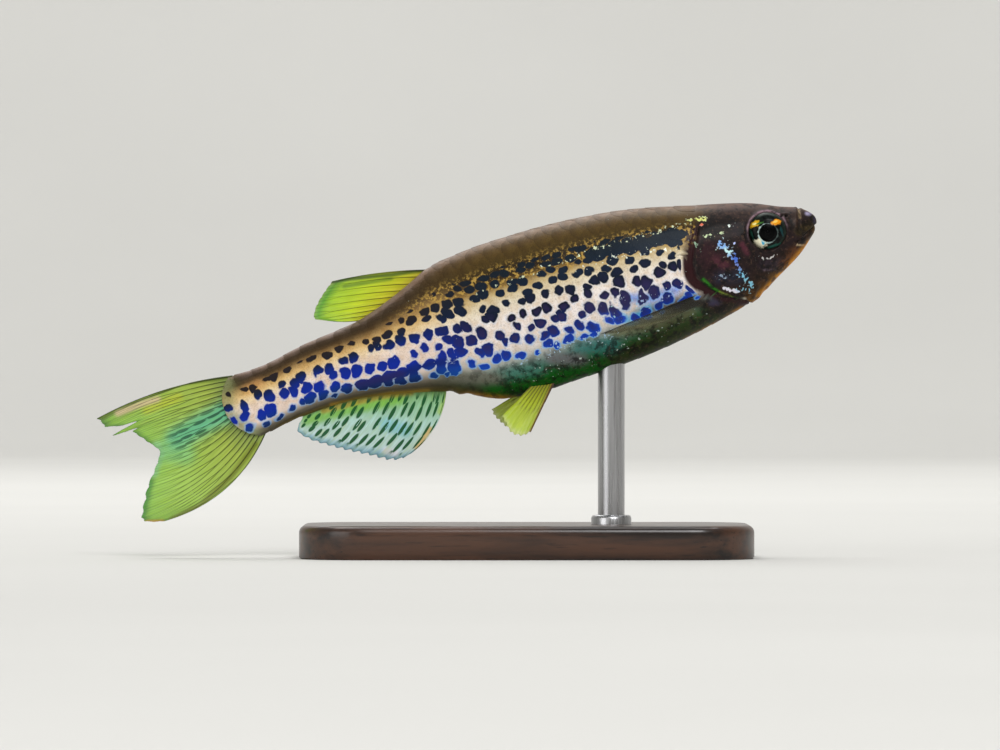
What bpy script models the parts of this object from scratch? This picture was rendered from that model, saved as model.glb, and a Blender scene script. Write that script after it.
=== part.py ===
"""A leopard-spotted zebra danio, life size, swimming head up on a plain display stand.

The fish is modelled straight in its own frame, in millimetres: x runs forward and is 0 at the tip of the
snout, y runs to the fish's left and z up. An empty then pitches it and lifts it into its pose. Places on the
fish are given as (back, up): the distance behind the tip of the snout, and the height above it.
"""

import math

import bmesh
import bpy
import numpy as np

MM = 0.001
GAP = 0.3  # air between two pieces that meet

PITCH = math.radians(18.25)  # the fish swims head up
SNOUT_FORWARD = 21.48
SNOUT_HEIGHT = 20.2

# Outlines of the body as (back, up), read along the fish from the tip of the snout to the root of its tail fin.
BACK_LINE = (
    (0, 0), (0.3, 0.57), (0.86, 1.0), (1.9, 1.42), (3.4, 2.11), (6.5, 3.02), (12.1, 4.34), (17.0, 4.77),
    (21.0, 4.73), (22.8, 4.5), (24.6, 3.77), (27.2, 2.92), (31.6, 2.43), (34.2, 2.03), (36.4, 2.1),
)
BELLY_LINE = (
    (0, 0), (0.22, -0.46), (0.81, -1.1), (1.56, -1.68), (3.1, -2.5), (5.0, -3.44), (7.2, -3.92), (12.0, -4.56),
    (16.2, -4.65), (19.6, -4.58), (21.6, -4.16), (23.5, -3.1), (26.5, -2.15), (29.5, -1.57), (33.0, -1.58),
    (35.5, -1.97), (36.4, -2.05),
)
# Half the body's width as (back, half width), and how far up its depth it is widest as (back, share).
HALF_WIDTH = (
    (0, 0), (0.3, 0.6), (0.86, 0.98), (1.9, 1.36), (3.4, 1.76), (5.5, 2.12), (8.0, 2.38), (12.0, 2.58),
    (16.0, 2.54), (20.0, 2.16), (24.0, 1.6), (28.0, 1.14), (32.0, 0.76), (36.4, 0.4),
)
WIDEST_SHARE = ((0, 0.5), (4.0, 0.5), (9.0, 0.47), (16.0, 0.46), (24.0, 0.5), (36.4, 0.5))
BACK_ROUNDNESS = 2.15  # exponent of the section above its widest height; 2 is an ellipse
BELLY_ROUNDNESS = 2.05

GILL_EDGE = (  # rear edge of the gill covers as (up, back)
    (-3.75, 5.0), (-3.26, 5.54), (-2.81, 6.33), (-2.08, 7.22), (-1.12, 7.82), (-0.16, 7.74), (1.03, 7.2),
    (2.11, 6.62), (3.1, 6.25),
)
VENT_BACK = 23.6  # the trunk ends and the tail begins at the vent
TAIL_END = 36.2
TAIL_END_BULGE = 0.55  # the scaled flesh reaches further back at half height

EYE_BACK, EYE_UP = 2.97, 0.18
EYE_RADIUS = 1.13
EYE_DEPTH = 0.66  # half its thickness from side to side
EYE_OUT = 1.27  # from the middle of the head to the middle of the eye

# Lines on the side of the head, as (back, up).
MOUTH_LINE = ((0.0, -0.3), (0.3, -0.42), (0.7, -0.58), (1.42, -0.92))
LIP_GROOVE = ((0.74, 1.1), (0.98, 0.5), (1.18, -0.1), (1.42, -0.92))
CHEEK_LINE = ((4.75, 1.5), (4.5, 0.6), (4.35, -0.6), (4.1, -1.6), (3.3, -2.15), (2.3, -1.75))
MOUTH_WIDTH, MOUTH_DEPTH = 0.12, 0.2
LIP_RISE = 0.06
NOSTRILS = ((1.38, 0.78), (1.62, 0.98))
NOSTRIL_RADIUS, NOSTRIL_DEPTH = 0.14, 0.2

# Feelers as (back, out, up), with the thickness at the root.
CHEEK_BARBEL = ((1.2, 0.75, -0.85), (1.5, 1.2, -1.02), (1.9, 1.5, -1.4), (2.3, 1.62, -1.9))
CHEEK_BARBEL_THICKNESS = 0.46
SNOUT_BARBEL = ((1.0, 0.4, 0.55), (0.85, 0.85, 0.65), (0.88, 1.14, 0.45), (1.1, 1.34, 0.12))
SNOUT_BARBEL_THICKNESS = 0.4
BARBEL_SIDES = 8

COVER_FRONT = (  # front edge of a gill cover as (up, back)
    (-2.95, 5.75), (-2.7, 5.2), (-2.2, 4.92), (-1.2, 4.78), (0.0, 4.84), (0.9, 5.06), (1.4, 5.4), (1.7, 6.1),
)
COVER_TOP, COVER_BOTTOM = 1.7, -2.95
COVER_THICKNESS = 0.55
COVER_RISE = 0.1

MEMBRANE = 0.5  # thickness of a fin between its rays
RAY_RISE = 0.11  # a ray's ridge on each face
EDGE_THICKNESS = 0.2

BASE_LENGTH, BASE_WIDTH, BASE_THICKNESS = 27.0, 15.0, 2.0
BASE_CORNER = 4.0
BASE_FORWARD = 4.2  # middle of the base, under the fish's weight
ROD_BACK = 14.4  # the rod meets the belly this far behind the snout
ROD_RADIUS = 0.8

SKIN = ("danio_skin", (0.62, 0.6, 0.55), 0.35, 0.1)
FIN = ("danio_fin", (0.66, 0.78, 0.2), 0.4, 0.0)
EYE = ("danio_eye", (0.03, 0.03, 0.035), 0.12, 0.0)
BASE = ("stand_wood", (0.09, 0.06, 0.045), 0.35, 0.0)
ROD = ("stand_steel", (0.7, 0.7, 0.72), 0.3, 1.0)


def curve_through(points):
    """A smooth function through (place, value) points: cubic pieces with slopes from the points on either side."""
    places, values = np.array(points, float).T
    steps = np.diff(places)
    slopes = np.gradient(values, places)

    def value_at(place):
        place = np.clip(place, places[0], places[-1])
        i = np.clip(np.searchsorted(places, place) - 1, 0, len(steps) - 1)
        h = steps[i]
        t = (place - places[i]) / h
        return (
            values[i] * (1 + 2 * t) * (1 - t) ** 2
            + values[i + 1] * t * t * (3 - 2 * t)
            + h * slopes[i] * t * (1 - t) ** 2
            - h * slopes[i + 1] * t * t * (1 - t)
        )

    return value_at


def blunt_curve(points):
    """A smooth function of the square root of the place, so that the snout is round and not pointed."""
    curve = curve_through([(math.sqrt(back), value) for back, value in points])
    return lambda back: curve(np.sqrt(np.maximum(back, 0)))


def line_through(points):
    """A smooth path through points, as a function of the share of its length from 0 to 1."""
    points = np.array(points, float)
    lengths = np.concatenate([[0], np.cumsum(np.linalg.norm(np.diff(points, axis=0), axis=1))])
    shares = lengths / lengths[-1]
    axes = [curve_through(list(zip(shares, points[:, i]))) for i in range(points.shape[1])]
    return lambda share: np.stack([axis(share) for axis in axes], axis=-1)


back_height = blunt_curve(BACK_LINE)
belly_height = blunt_curve(BELLY_LINE)
half_width = blunt_curve(HALF_WIDTH)
widest_share = curve_through(WIDEST_SHARE)
gill_edge = curve_through(GILL_EDGE)
cover_front = curve_through(COVER_FRONT)


def widest_height(back):
    return belly_height(back) + widest_share(back) * (back_height(back) - belly_height(back))


def body_point(back, turn, grow=0.0):
    """The body's surface: two half ellipses with slightly squared shoulders. turn is 0 on the back and runs
    down the right side, to half a turn on the belly and up the left."""
    upper = np.cos(turn) >= 0
    power = 2 / np.where(upper, BACK_ROUNDNESS, BELLY_ROUNDNESS)
    middle = widest_height(back)
    reach = np.where(upper, back_height(back) - middle + grow, middle - belly_height(back) + grow)
    side = -(half_width(back) + grow) * np.sign(np.sin(turn)) * np.abs(np.sin(turn)) ** power
    up = middle + reach * np.sign(np.cos(turn)) * np.abs(np.cos(turn)) ** power
    return np.stack([-back * np.ones_like(turn), side, up], axis=-1)


def side_width(back, up):
    """How far the body's surface is from its middle plane at that place in the side view."""
    middle = widest_height(back)
    above = up >= middle
    reach = np.where(above, back_height(back) - middle, middle - belly_height(back))
    power = np.where(above, BACK_ROUNDNESS, BELLY_ROUNDNESS)
    share = np.clip(np.abs(up - middle) / np.maximum(reach, 1e-6), 0, 1)
    return half_width(back) * (1 - share**power) ** (1 / power)


def distance_to(back, up, path):
    """Distance in the side view from each place to a line through (back, up) points."""
    nearest = np.full(np.shape(back), 1e9)
    for (b0, u0), (b1, u1) in zip(path, path[1:]):
        db, du = b1 - b0, u1 - u0
        t = np.clip(((back - b0) * db + (up - u0) * du) / (db * db + du * du), 0, 1)
        nearest = np.minimum(nearest, np.hypot(back - b0 - t * db, up - u0 - t * du))
    return nearest


def ring_normals(rings):
    """Unit outward normals of a stack of rings that runs back from the snout."""
    along = np.gradient(rings, axis=0)
    around = np.roll(rings, -1, axis=1) - np.roll(rings, 1, axis=1)
    normal = np.cross(along, around)
    return normal / np.maximum(np.linalg.norm(normal, axis=-1, keepdims=True), 1e-9)


def groove(distance, width, depth):
    return -depth * np.exp(-((distance / width) ** 2))


def head_relief(rings):
    """How far the head's features stand out of its smooth shape: lips, mouth line, nostrils, cheek and eye rim."""
    back, up = -rings[..., 0], rings[..., 2]
    to_mouth = distance_to(back, up, MOUTH_LINE)
    relief = LIP_RISE * np.exp(-(((to_mouth - 0.26) / 0.16) ** 2))
    relief += groove(to_mouth, MOUTH_WIDTH, MOUTH_DEPTH)
    relief += groove(distance_to(back, up, LIP_GROOVE), 0.1, 0.1)
    relief += groove(distance_to(back, up, CHEEK_LINE), 0.16, 0.09)
    for place in NOSTRILS:
        relief += groove(np.hypot(back - place[0], up - place[1]), NOSTRIL_RADIUS, NOSTRIL_DEPTH)
    from_eye = np.hypot(back - EYE_BACK, up - EYE_UP)
    relief += 0.07 * np.exp(-(((from_eye - EYE_RADIUS - GAP) / 0.35) ** 2))
    return relief


def material(finish):
    name, colour, roughness, metallic = finish
    made = bpy.data.materials.get(name)
    if made is None:
        made = bpy.data.materials.new(name)
        made.use_nodes = True
        shader = made.node_tree.nodes["Principled BSDF"]
        shader.inputs["Base Color"].default_value = (*colour, 1)
        shader.inputs["Roughness"].default_value = roughness
        shader.inputs["Metallic"].default_value = metallic
    return made


def make_piece(name, points, faces, finish, parent=None):
    """An object from points in millimetres, with its faces turned outwards."""
    mesh = bpy.data.meshes.new(name)
    mesh.from_pydata((np.asarray(points, float) * MM).tolist(), [], [list(map(int, face)) for face in faces])
    shape = bmesh.new()
    shape.from_mesh(mesh)
    bmesh.ops.recalc_face_normals(shape, faces=shape.faces)
    shape.to_mesh(mesh)
    shape.free()
    mesh.shade_smooth()
    mesh.set_sharp_from_angle(angle=math.radians(40))
    mesh.materials.append(material(finish))
    made = bpy.data.objects.new(name, mesh)
    bpy.context.scene.collection.objects.link(made)
    made.parent = parent
    return made


def band_faces(first, second):
    """Triangles between two closed rings of points, given as point numbers."""
    faces = []
    for i in range(len(first)):
        j = (i + 1) % len(first)
        faces += [(first[i], first[j], second[j]), (first[i], second[j], second[i])]
    return faces


def fan_faces(ring, middle):
    return [(ring[i], ring[(i + 1) % len(ring)], middle) for i in range(len(ring))]


def closed_stack(rings, first_middle, last_middle, cap_rings=(0, 0)):
    """Points and faces of a stack of rings closed at both ends, with that many rings inside each end's cap."""
    count = rings.shape[1]
    stack = list(rings)
    for k in range(1, cap_rings[0] + 1):
        share = k / (cap_rings[0] + 1)
        stack.insert(0, rings[0] * (1 - share) + np.asarray(first_middle) * share)
    for k in range(1, cap_rings[1] + 1):
        share = k / (cap_rings[1] + 1)
        stack.append(rings[-1] * (1 - share) + np.asarray(last_middle) * share)
    points = np.concatenate([np.concatenate(stack), [first_middle], [last_middle]])
    numbers = np.arange(len(stack) * count).reshape(len(stack), count)
    faces = []
    for first, second in zip(numbers, numbers[1:]):
        faces += band_faces(first, second)
    faces += fan_faces(numbers[0], len(points) - 2) + fan_faces(numbers[-1], len(points) - 1)
    return points, faces


def closed_plate(middle, half, out):
    """Points and triangles of a thin plate: the grid middle moved by half along out, and back by as much. Both
    faces are split the same way, so they never cross where the plate bends."""
    rows, columns = middle.shape[:2]
    points = np.concatenate([(middle + sign * half[..., None] * out).reshape(-1, 3) for sign in (1, -1)])
    near = np.arange(rows * columns).reshape(rows, columns)
    far = near + rows * columns
    a, b, c, d = (near[:-1, :-1].ravel(), near[1:, :-1].ravel(), near[1:, 1:].ravel(), near[:-1, 1:].ravel())
    one_face = np.concatenate([np.stack([a, b, c], 1), np.stack([a, c, d], 1)])
    rim = [*near[0, :], *near[1:, -1], *near[-1, -2::-1], *near[-2:0:-1, 0]]
    rim_far = [*far[0, :], *far[1:, -1], *far[-1, -2::-1], *far[-2:0:-1, 0]]
    faces = [*one_face.tolist(), *(one_face[:, ::-1] + rows * columns).tolist(), *band_faces(rim, rim_far)]
    return points, faces


def mirrored(points):
    return points * np.array([1, -1, 1])


def keep_largest(piece):
    """Leaves only the largest closed surface of a piece."""
    shape = bmesh.new()
    shape.from_mesh(piece.data)
    left = set(shape.faces)
    groups = []
    while left:
        group, edge = set(), [left.pop()]
        while edge:
            face = edge.pop()
            group.add(face)
            near = {other for side in face.edges for other in side.link_faces} & left
            left -= near
            edge += near
        groups.append(group)
    groups.sort(key=lambda group: sum(face.calc_area() for face in group))
    scraps = [face for group in groups[:-1] for face in group]
    bmesh.ops.delete(shape, geom=scraps, context="FACES")
    shape.to_mesh(piece.data)
    shape.free()


def combine(piece, others, operation):
    """One Boolean of a piece with a collection of closed pieces, applied. The others are then removed."""
    group = bpy.data.collections.new(piece.name + "_pieces")
    for other in others:
        group.objects.link(other)
    boolean = piece.modifiers.new(operation.lower(), "BOOLEAN")
    boolean.operation = operation
    boolean.operand_type = "COLLECTION"
    boolean.collection = group
    bpy.context.view_layer.update()
    result = bpy.data.meshes.new_from_object(piece.evaluated_get(bpy.context.evaluated_depsgraph_get()))
    piece.modifiers.clear()
    piece.data = result
    for other in others:
        bpy.data.objects.remove(other)
    bpy.data.collections.remove(group)
    keep_largest(piece)


def eye_ball(name, side, grow, finish, fish):
    """A flattened ball: an ellipsoid round the eye's middle, as rings from its outer pole to its inner one."""
    turns = np.linspace(0, 2 * math.pi, 24, endpoint=False)
    rises = np.linspace(0, math.pi, 13)[1:-1, None]
    radius, depth = EYE_RADIUS + grow, EYE_DEPTH + grow
    centre = np.array([-EYE_BACK, side * EYE_OUT, EYE_UP])
    rings = np.stack(
        [radius * np.sin(rises) * np.cos(turns), side * depth * np.cos(rises) + 0 * turns,
         radius * np.sin(rises) * np.sin(turns)], axis=-1
    )
    poles = [centre + np.array([0, side * depth * sign, 0]) for sign in (1, -1)]
    points, faces = closed_stack(rings + centre, *poles)
    return make_piece(name, points, faces, finish, fish)


def gill_cover(name, side, grow, finish, fish):
    """A curved shield on the side of the head, between its front edge and the gill opening. With grow it is the
    cutter that makes room for it, and runs out through the back of the head."""
    spacing = (1 - np.cos(np.linspace(0, math.pi, 16))) / 2  # closer together at the rounded ends
    ups = (COVER_TOP + grow + (COVER_BOTTOM - COVER_TOP - 2 * grow) * spacing)[:, None]
    share = np.linspace(0, 1, 8)[None, :]
    level = np.clip(ups, COVER_BOTTOM, COVER_TOP)
    rear = gill_edge(level) + (2.0 if grow else -GAP / 2)
    back = (cover_front(level) - grow) * (1 - share) + rear * share
    up = ups + 0 * share
    surface = np.stack([-back, side * side_width(back, up), up], axis=-1)
    slope_back = (side_width(back + 0.05, up) - side_width(back - 0.05, up)) / 0.1
    slope_up = (side_width(back, up + 0.05) - side_width(back, up - 0.05)) / 0.1
    slope_up = np.clip(slope_up, -2.5, 2.5)
    out = np.stack([slope_back, side * np.ones_like(back), -slope_up], axis=-1)
    out /= np.linalg.norm(out, axis=-1, keepdims=True)
    outer, inner = COVER_RISE + 3 * grow, COVER_RISE - COVER_THICKNESS - grow
    middle = surface + out * (outer + inner) / 2
    half = np.full(back.shape, (outer - inner) / 2)
    points, faces = closed_plate(middle, half, out)
    return make_piece(name, points, faces, finish, fish)


def barbel(name, side, path, thickness, fish):
    """A feeler: a round rod along a smooth path, tapering to its tip, with its root sunk in the head."""
    shares = np.linspace(0, 1, 7)
    middle = line_through([(-back, side * out, up) for back, out, up in path])(shares)
    ahead = np.gradient(middle, axis=0)
    ahead /= np.linalg.norm(ahead, axis=1, keepdims=True)
    across = np.cross(ahead, [0, 0, 1.0])
    across /= np.linalg.norm(across, axis=1, keepdims=True)
    other = np.cross(ahead, across)
    turns = np.linspace(0, 2 * math.pi, BARBEL_SIDES, endpoint=False)
    radius = (thickness / 2 * (1 - 0.7 * shares))[:, None, None]
    rings = middle[:, None] + radius * (
        np.cos(turns)[None, :, None] * across[:, None] + np.sin(turns)[None, :, None] * other[:, None]
    )
    points, faces = closed_stack(rings, middle[0], middle[-1])
    return make_piece(name, points, faces, SKIN, fish)


def gill_ring(turns, shift):
    """Where the gill opening crosses the surface at each turn, moved back by shift."""
    back = np.full(turns.shape, 6.5)
    for _ in range(12):
        back = gill_edge(body_point(back, turns)[..., 2])
    return back + shift


def make_head(fish):
    """The head up to the gill opening, with sockets for the eyes and beds for the gill covers."""
    turns = np.linspace(0, 2 * math.pi, 60, endpoint=False)
    shares = np.linspace(0, 1, 39)[1:, None]
    rings = body_point(gill_ring(turns, -GAP / 2)[None, :] * shares**1.5, turns[None, :] + 0 * shares)
    rings = rings + ring_normals(rings) * head_relief(rings)[..., None]
    inside = np.array([-6.4, 0, -0.3])
    points, faces = closed_stack(rings, (0, 0, 0), inside, (0, 2))
    head = make_piece("head", points, faces, SKIN, fish)
    cutters, feelers = [], []
    for word, side in (("right", -1), ("left", 1)):
        cutters.append(eye_ball("socket_" + word, side, GAP, SKIN, fish))
        cutters.append(gill_cover("cover_bed_" + word, side, GAP, SKIN, fish))
        feelers.append(barbel("cheek_barbel_" + word, side, CHEEK_BARBEL, CHEEK_BARBEL_THICKNESS, fish))
        feelers.append(barbel("snout_barbel_" + word, side, SNOUT_BARBEL, SNOUT_BARBEL_THICKNESS, fish))
    combine(head, cutters, "DIFFERENCE")
    combine(head, feelers, "UNION")


def make_trunk(fish):
    """The trunk from the gill opening to the vent."""
    turns = np.linspace(0, 2 * math.pi, 40, endpoint=False)
    front = gill_ring(turns, GAP / 2)[None, :]
    shares = np.linspace(0, 1, 25)[:, None]
    end = VENT_BACK - GAP / 2
    rings = body_point(front + (end - front) * shares, turns[None, :] + 0 * shares)
    middles = (-6.4 - GAP, 0, -0.3), (-end, 0, widest_height(end))
    points, faces = closed_stack(rings, *middles, (2, 1))
    make_piece("trunk", points, faces, SKIN, fish)


def make_tail_stalk(fish):
    """The tail from the vent to the root of the tail fin, with a rounded rear edge."""
    turns = np.linspace(0, 2 * math.pi, 32, endpoint=False)
    start = VENT_BACK + GAP / 2
    shares = np.linspace(0, 1, 19)[:, None]
    bulge = TAIL_END_BULGE * np.sin(turns)[None, :] ** 2
    back = start + (TAIL_END + bulge - start) * shares
    rings = body_point(back, turns[None, :] + 0 * shares)
    middles = (-start, 0, widest_height(start)), (-TAIL_END - TAIL_END_BULGE, 0, widest_height(TAIL_END))
    points, faces = closed_stack(rings, *middles, (1, 1))
    make_piece("tail_stalk", points, faces, SKIN, fish)


def make_fin(name, root, tips, rays, rows, fish, bow=(0.0, 0.0), wave=0.0, out=(0, 1, 0)):
    """A fin: a plate between a root line and a line of ray tips, both functions of the share across the fin.
    Each ray is a ridge on both faces, and the rays are bowed by the two sizes of bow at the first and last."""
    columns = 2 * rays - 1
    across = np.linspace(0, 1, columns)[None, :]
    along = np.linspace(0, 1, rows)[:, None]
    start, end = root(across[0])[None], tips(across[0])[None]
    straight = start + (end - start) * along[..., None]
    heading = end - start
    heading = heading / np.linalg.norm(heading, axis=-1, keepdims=True)
    out = np.broadcast_to(np.array(out, float), straight.shape)
    sideways = np.cross(out, heading)
    sideways = sideways / np.linalg.norm(sideways, axis=-1, keepdims=True)
    bend = (bow[0] * (1 - across) + bow[1] * across) * 4 * along * (1 - along)
    middle = straight + sideways * bend[..., None]
    middle = middle + out * (wave * np.sin(math.pi * across * 1.6) * along**1.5)[..., None]
    face = np.cross(np.gradient(middle, axis=0), np.gradient(middle, axis=1))
    face = face / np.linalg.norm(face, axis=-1, keepdims=True)
    thin = np.clip((along - 0.7) / 0.3, 0, 1) ** 1.5
    thickness = MEMBRANE * (1 - thin) + EDGE_THICKNESS * thin
    ridge = np.where(np.arange(columns) % 2 == 0, 1.0, 0.0)[None, :] * RAY_RISE * (1 - 0.7 * thin)
    points, faces = closed_plate(middle, thickness / 2 + ridge, face)
    return make_piece(name, points, faces, FIN, fish)


def flat_line(points):
    """A line in the fish's middle plane through (back, up) points."""
    return line_through([(-back, 0, up) for back, up in points])


def along_profile(height, first, last, lift, crowding=1.0):
    """A root line that follows the back or the belly from one place to another, lifted off it. A crowding over 1
    sets the first rays closer together."""
    def place(share):
        back = first + (last - first) * share**crowding
        return np.stack([-back, 0 * back, height(back) + lift], axis=-1)

    return place


DORSAL_ROOT = (22.95, 27.5)  # back, from the first ray to the last
DORSAL_TIPS = ((28.6, 5.5), (29.2, 5.08), (29.75, 4.62), (30.2, 4.05), (30.3, 3.75), (29.9, 3.5), (29.3, 3.22))
ANAL_ROOT = (24.15, 32.7)
ANAL_TIPS = (
    (27.35, -5.72), (28.0, -5.84), (28.6, -5.72), (29.7, -5.06), (31.0, -4.3), (32.05, -3.6), (32.9, -2.95),
    (33.35, -2.3), (33.1, -1.9),
)
TAIL_FIN_ROOT = ((36.5, 2.02), (36.95, 1.1), (37.08, 0.2), (37.02, -0.7), (36.7, -1.5), (36.2, -2.12))
TAIL_FIN_TIPS = (  # a torn edge near the upper tip leaves one ray standing alone
    (44.48, 2.12), (44.26, 1.74), (44.2, 1.5), (43.2, 1.2), (43.95, 0.86), (42.75, 0.74), (42.45, 0.36),
    (42.1, -0.1), (41.72, -0.57), (41.52, -0.9), (41.72, -1.25), (42.1, -1.75), (42.62, -2.34), (43.1, -3.0),
    (43.5, -3.7), (43.8, -4.3), (43.7, -4.58), (43.2, -4.78), (42.6, -4.94),
)


def make_median_fins(fish):
    """The three fins in the middle plane: on the back, under the tail and at its end."""
    upper_root = along_profile(back_height, *DORSAL_ROOT, GAP)
    lower_root = along_profile(belly_height, *ANAL_ROOT, -GAP, 1.4)
    make_fin("dorsal_fin", upper_root, flat_line(DORSAL_TIPS), 9, 8, fish, bow=(-0.08, 0.1), wave=0.25)
    make_fin("anal_fin", lower_root, flat_line(ANAL_TIPS), 14, 8, fish, bow=(-0.25, -0.08), wave=-0.2)
    tips = np.array([(-back, 0, up) for back, up in TAIL_FIN_TIPS])
    shares = np.linspace(0, 1, len(tips))
    make_fin(
        "caudal_fin", flat_line(TAIL_FIN_ROOT),
        lambda share: np.stack([np.interp(share, shares, tips[:, i]) for i in range(3)], axis=-1),
        19, 12, fish, bow=(0.42, -0.95), wave=0.35,
    )


def on_flank(points, side, lift):
    """A line that keeps its distance from the body's surface, through (back, up) points."""
    line = line_through(points)

    def place(share):
        spot = line(share)
        back, up = spot[..., 0], spot[..., 1]
        return np.stack([-back, side * (side_width(back, up) + lift), up], axis=-1)

    return place


PECTORAL_ROOT = ((8.3, -2.1), (8.2, -2.35), (8.0, -2.6))  # (back, up)
PECTORAL_TIPS = (  # (back, out, up)
    (14.4, 4.55, -2.5), (14.1, 4.1, -2.6), (13.5, 3.7, -2.72), (12.6, 3.35, -2.84), (11.6, 3.05, -2.94),
    (10.7, 2.85, -3.0),
)
PELVIC_ROOT = ((17.9, 0.8), (19.2, 0.95))  # (back, out)
PELVIC_TIPS = {  # (back, out, up), the left fin trails a little further back
    "right": ((20.15, 1.9, -6.72), (20.7, 2.15, -6.78), (21.25, 2.2, -6.45), (21.4, 2.05, -5.8), (21.5, 1.85, -5.3)),
    "left": ((20.7, 1.9, -6.3), (21.3, 2.15, -6.15), (21.7, 2.2, -5.6), (21.95, 2.1, -5.0), (21.95, 1.95, -4.75)),
}


def make_paired_fins(word, side, fish):
    """The breast fin, spread out and back from behind the gill cover, and the belly fin."""
    tips = line_through([(-back, side * out, up) for back, out, up in PECTORAL_TIPS])
    root = on_flank(PECTORAL_ROOT, side, GAP + MEMBRANE / 2 + RAY_RISE)
    make_fin("pectoral_fin_" + word, root, tips, 11, 8, fish, bow=(0.0, 0.0), out=(0, side * 0.35, 1.0))

    def belly_root(share):
        back = PELVIC_ROOT[0][0] + (PELVIC_ROOT[1][0] - PELVIC_ROOT[0][0]) * share
        spread = PELVIC_ROOT[0][1] + (PELVIC_ROOT[1][1] - PELVIC_ROOT[0][1]) * share
        middle = widest_height(back)
        share_out = (spread / half_width(back)) ** BELLY_ROUNDNESS
        up = middle - (middle - belly_height(back)) * (1 - share_out) ** (1 / BELLY_ROUNDNESS)
        return np.stack([-back, side * (spread + 0.08), up - GAP - 0.12], axis=-1)

    tips = line_through([(-back, side * out, up) for back, out, up in PELVIC_TIPS[word]])
    make_fin("pelvic_fin_" + word, belly_root, tips, 8, 7, fish, out=(0, side * 1.0, 0.3))


def fish_to_world(back, up):
    """Where a place in the fish's middle plane comes to in the world, in millimetres."""
    return (
        SNOUT_FORWARD - back * math.cos(PITCH) - up * math.sin(PITCH),
        SNOUT_HEIGHT - back * math.sin(PITCH) + up * math.cos(PITCH),
    )


def make_stand():
    """A flat base with rounded corners and a rod whose top follows the belly."""
    turns = (np.arange(48) + 0.5) * 2 * math.pi / 48
    heading = np.stack([np.cos(turns), np.sin(turns)], axis=-1)
    corners = np.sign(heading) * (np.array([BASE_LENGTH, BASE_WIDTH]) / 2 - BASE_CORNER)
    levels = ((0.0, 0.0), (BASE_THICKNESS - 0.5, 0.0), (BASE_THICKNESS - 0.15, 0.15), (BASE_THICKNESS, 0.5))
    rings = []
    for height, inset in levels:
        flat = corners + heading * (BASE_CORNER - inset) + (BASE_FORWARD, 0)
        rings.append(np.column_stack([flat, np.full(len(flat), height)]))
    ends = (BASE_FORWARD, 0, 0), (BASE_FORWARD, 0, BASE_THICKNESS)
    points, faces = closed_stack(np.array(rings), *ends)
    make_piece("stand_base", points, faces, BASE)

    turns = np.linspace(0, 2 * math.pi, 20, endpoint=False)
    reach = ROD_RADIUS * np.stack([np.cos(turns), np.sin(turns)], axis=-1)
    foot, top = fish_to_world(ROD_BACK, float(belly_height(ROD_BACK)))[0], []
    for x, y in [*reach, (0, 0)]:
        back = ROD_BACK - x / math.cos(PITCH)
        middle = widest_height(back)
        share = (abs(y) / half_width(back)) ** BELLY_ROUNDNESS
        up = middle - (middle - belly_height(back)) * (1 - share) ** (1 / BELLY_ROUNDNESS)
        top.append((foot + x, y, fish_to_world(back, up)[1] - GAP / math.cos(PITCH)))
    bottom = np.column_stack([reach + (foot, 0), np.full(len(reach), BASE_THICKNESS + GAP)])
    points, faces = closed_stack(np.array([bottom, top[:-1]]), (foot, 0, BASE_THICKNESS + GAP), top[-1])
    make_piece("stand_rod", points, faces, ROD)


def main():
    for old in list(bpy.data.objects):
        bpy.data.objects.remove(old)
    fish = bpy.data.objects.new("fish_pose", None)
    bpy.context.scene.collection.objects.link(fish)
    fish.location = (SNOUT_FORWARD * MM, 0, SNOUT_HEIGHT * MM)
    fish.rotation_euler = (0, -PITCH, 0)
    make_head(fish)
    make_trunk(fish)
    make_tail_stalk(fish)
    for word, side in (("right", -1), ("left", 1)):
        eye_ball("eye_" + word, side, 0.0, EYE, fish)
        gill_cover("gill_cover_" + word, side, 0.0, SKIN, fish)
        make_paired_fins(word, side, fish)
    make_median_fins(fish)
    make_stand()


main()
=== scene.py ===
"""A leopard danio on its display stand: the looks.

The fish is worked out straight, in its own frame and in millimetres: x runs forward from the tip of the snout, y
to the fish's left and z up. to_world then pitches it and sets it in place. A place on the fish is (back, up): the
distance behind the tip of the snout, and the height above it.
"""
import math

import bpy
import numpy as np
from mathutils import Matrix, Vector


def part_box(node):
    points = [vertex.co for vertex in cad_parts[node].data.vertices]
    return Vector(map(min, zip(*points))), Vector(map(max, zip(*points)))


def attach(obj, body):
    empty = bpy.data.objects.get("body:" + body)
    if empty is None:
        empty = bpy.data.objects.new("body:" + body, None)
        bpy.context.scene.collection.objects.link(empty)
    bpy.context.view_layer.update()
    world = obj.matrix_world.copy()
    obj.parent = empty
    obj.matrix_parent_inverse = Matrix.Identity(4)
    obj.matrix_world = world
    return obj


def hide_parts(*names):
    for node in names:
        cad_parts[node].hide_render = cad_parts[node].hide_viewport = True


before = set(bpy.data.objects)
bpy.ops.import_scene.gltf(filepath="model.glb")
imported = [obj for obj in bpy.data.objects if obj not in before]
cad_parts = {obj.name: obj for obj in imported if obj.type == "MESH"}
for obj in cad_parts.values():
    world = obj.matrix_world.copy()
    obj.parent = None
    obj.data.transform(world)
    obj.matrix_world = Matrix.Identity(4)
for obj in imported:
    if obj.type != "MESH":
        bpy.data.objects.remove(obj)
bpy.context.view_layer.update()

rng = np.random.default_rng(7)

MM = 0.001
PITCH = math.radians(18.25)
SNOUT_FORWARD = 21.48
SNOUT_HEIGHT = 20.2

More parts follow.
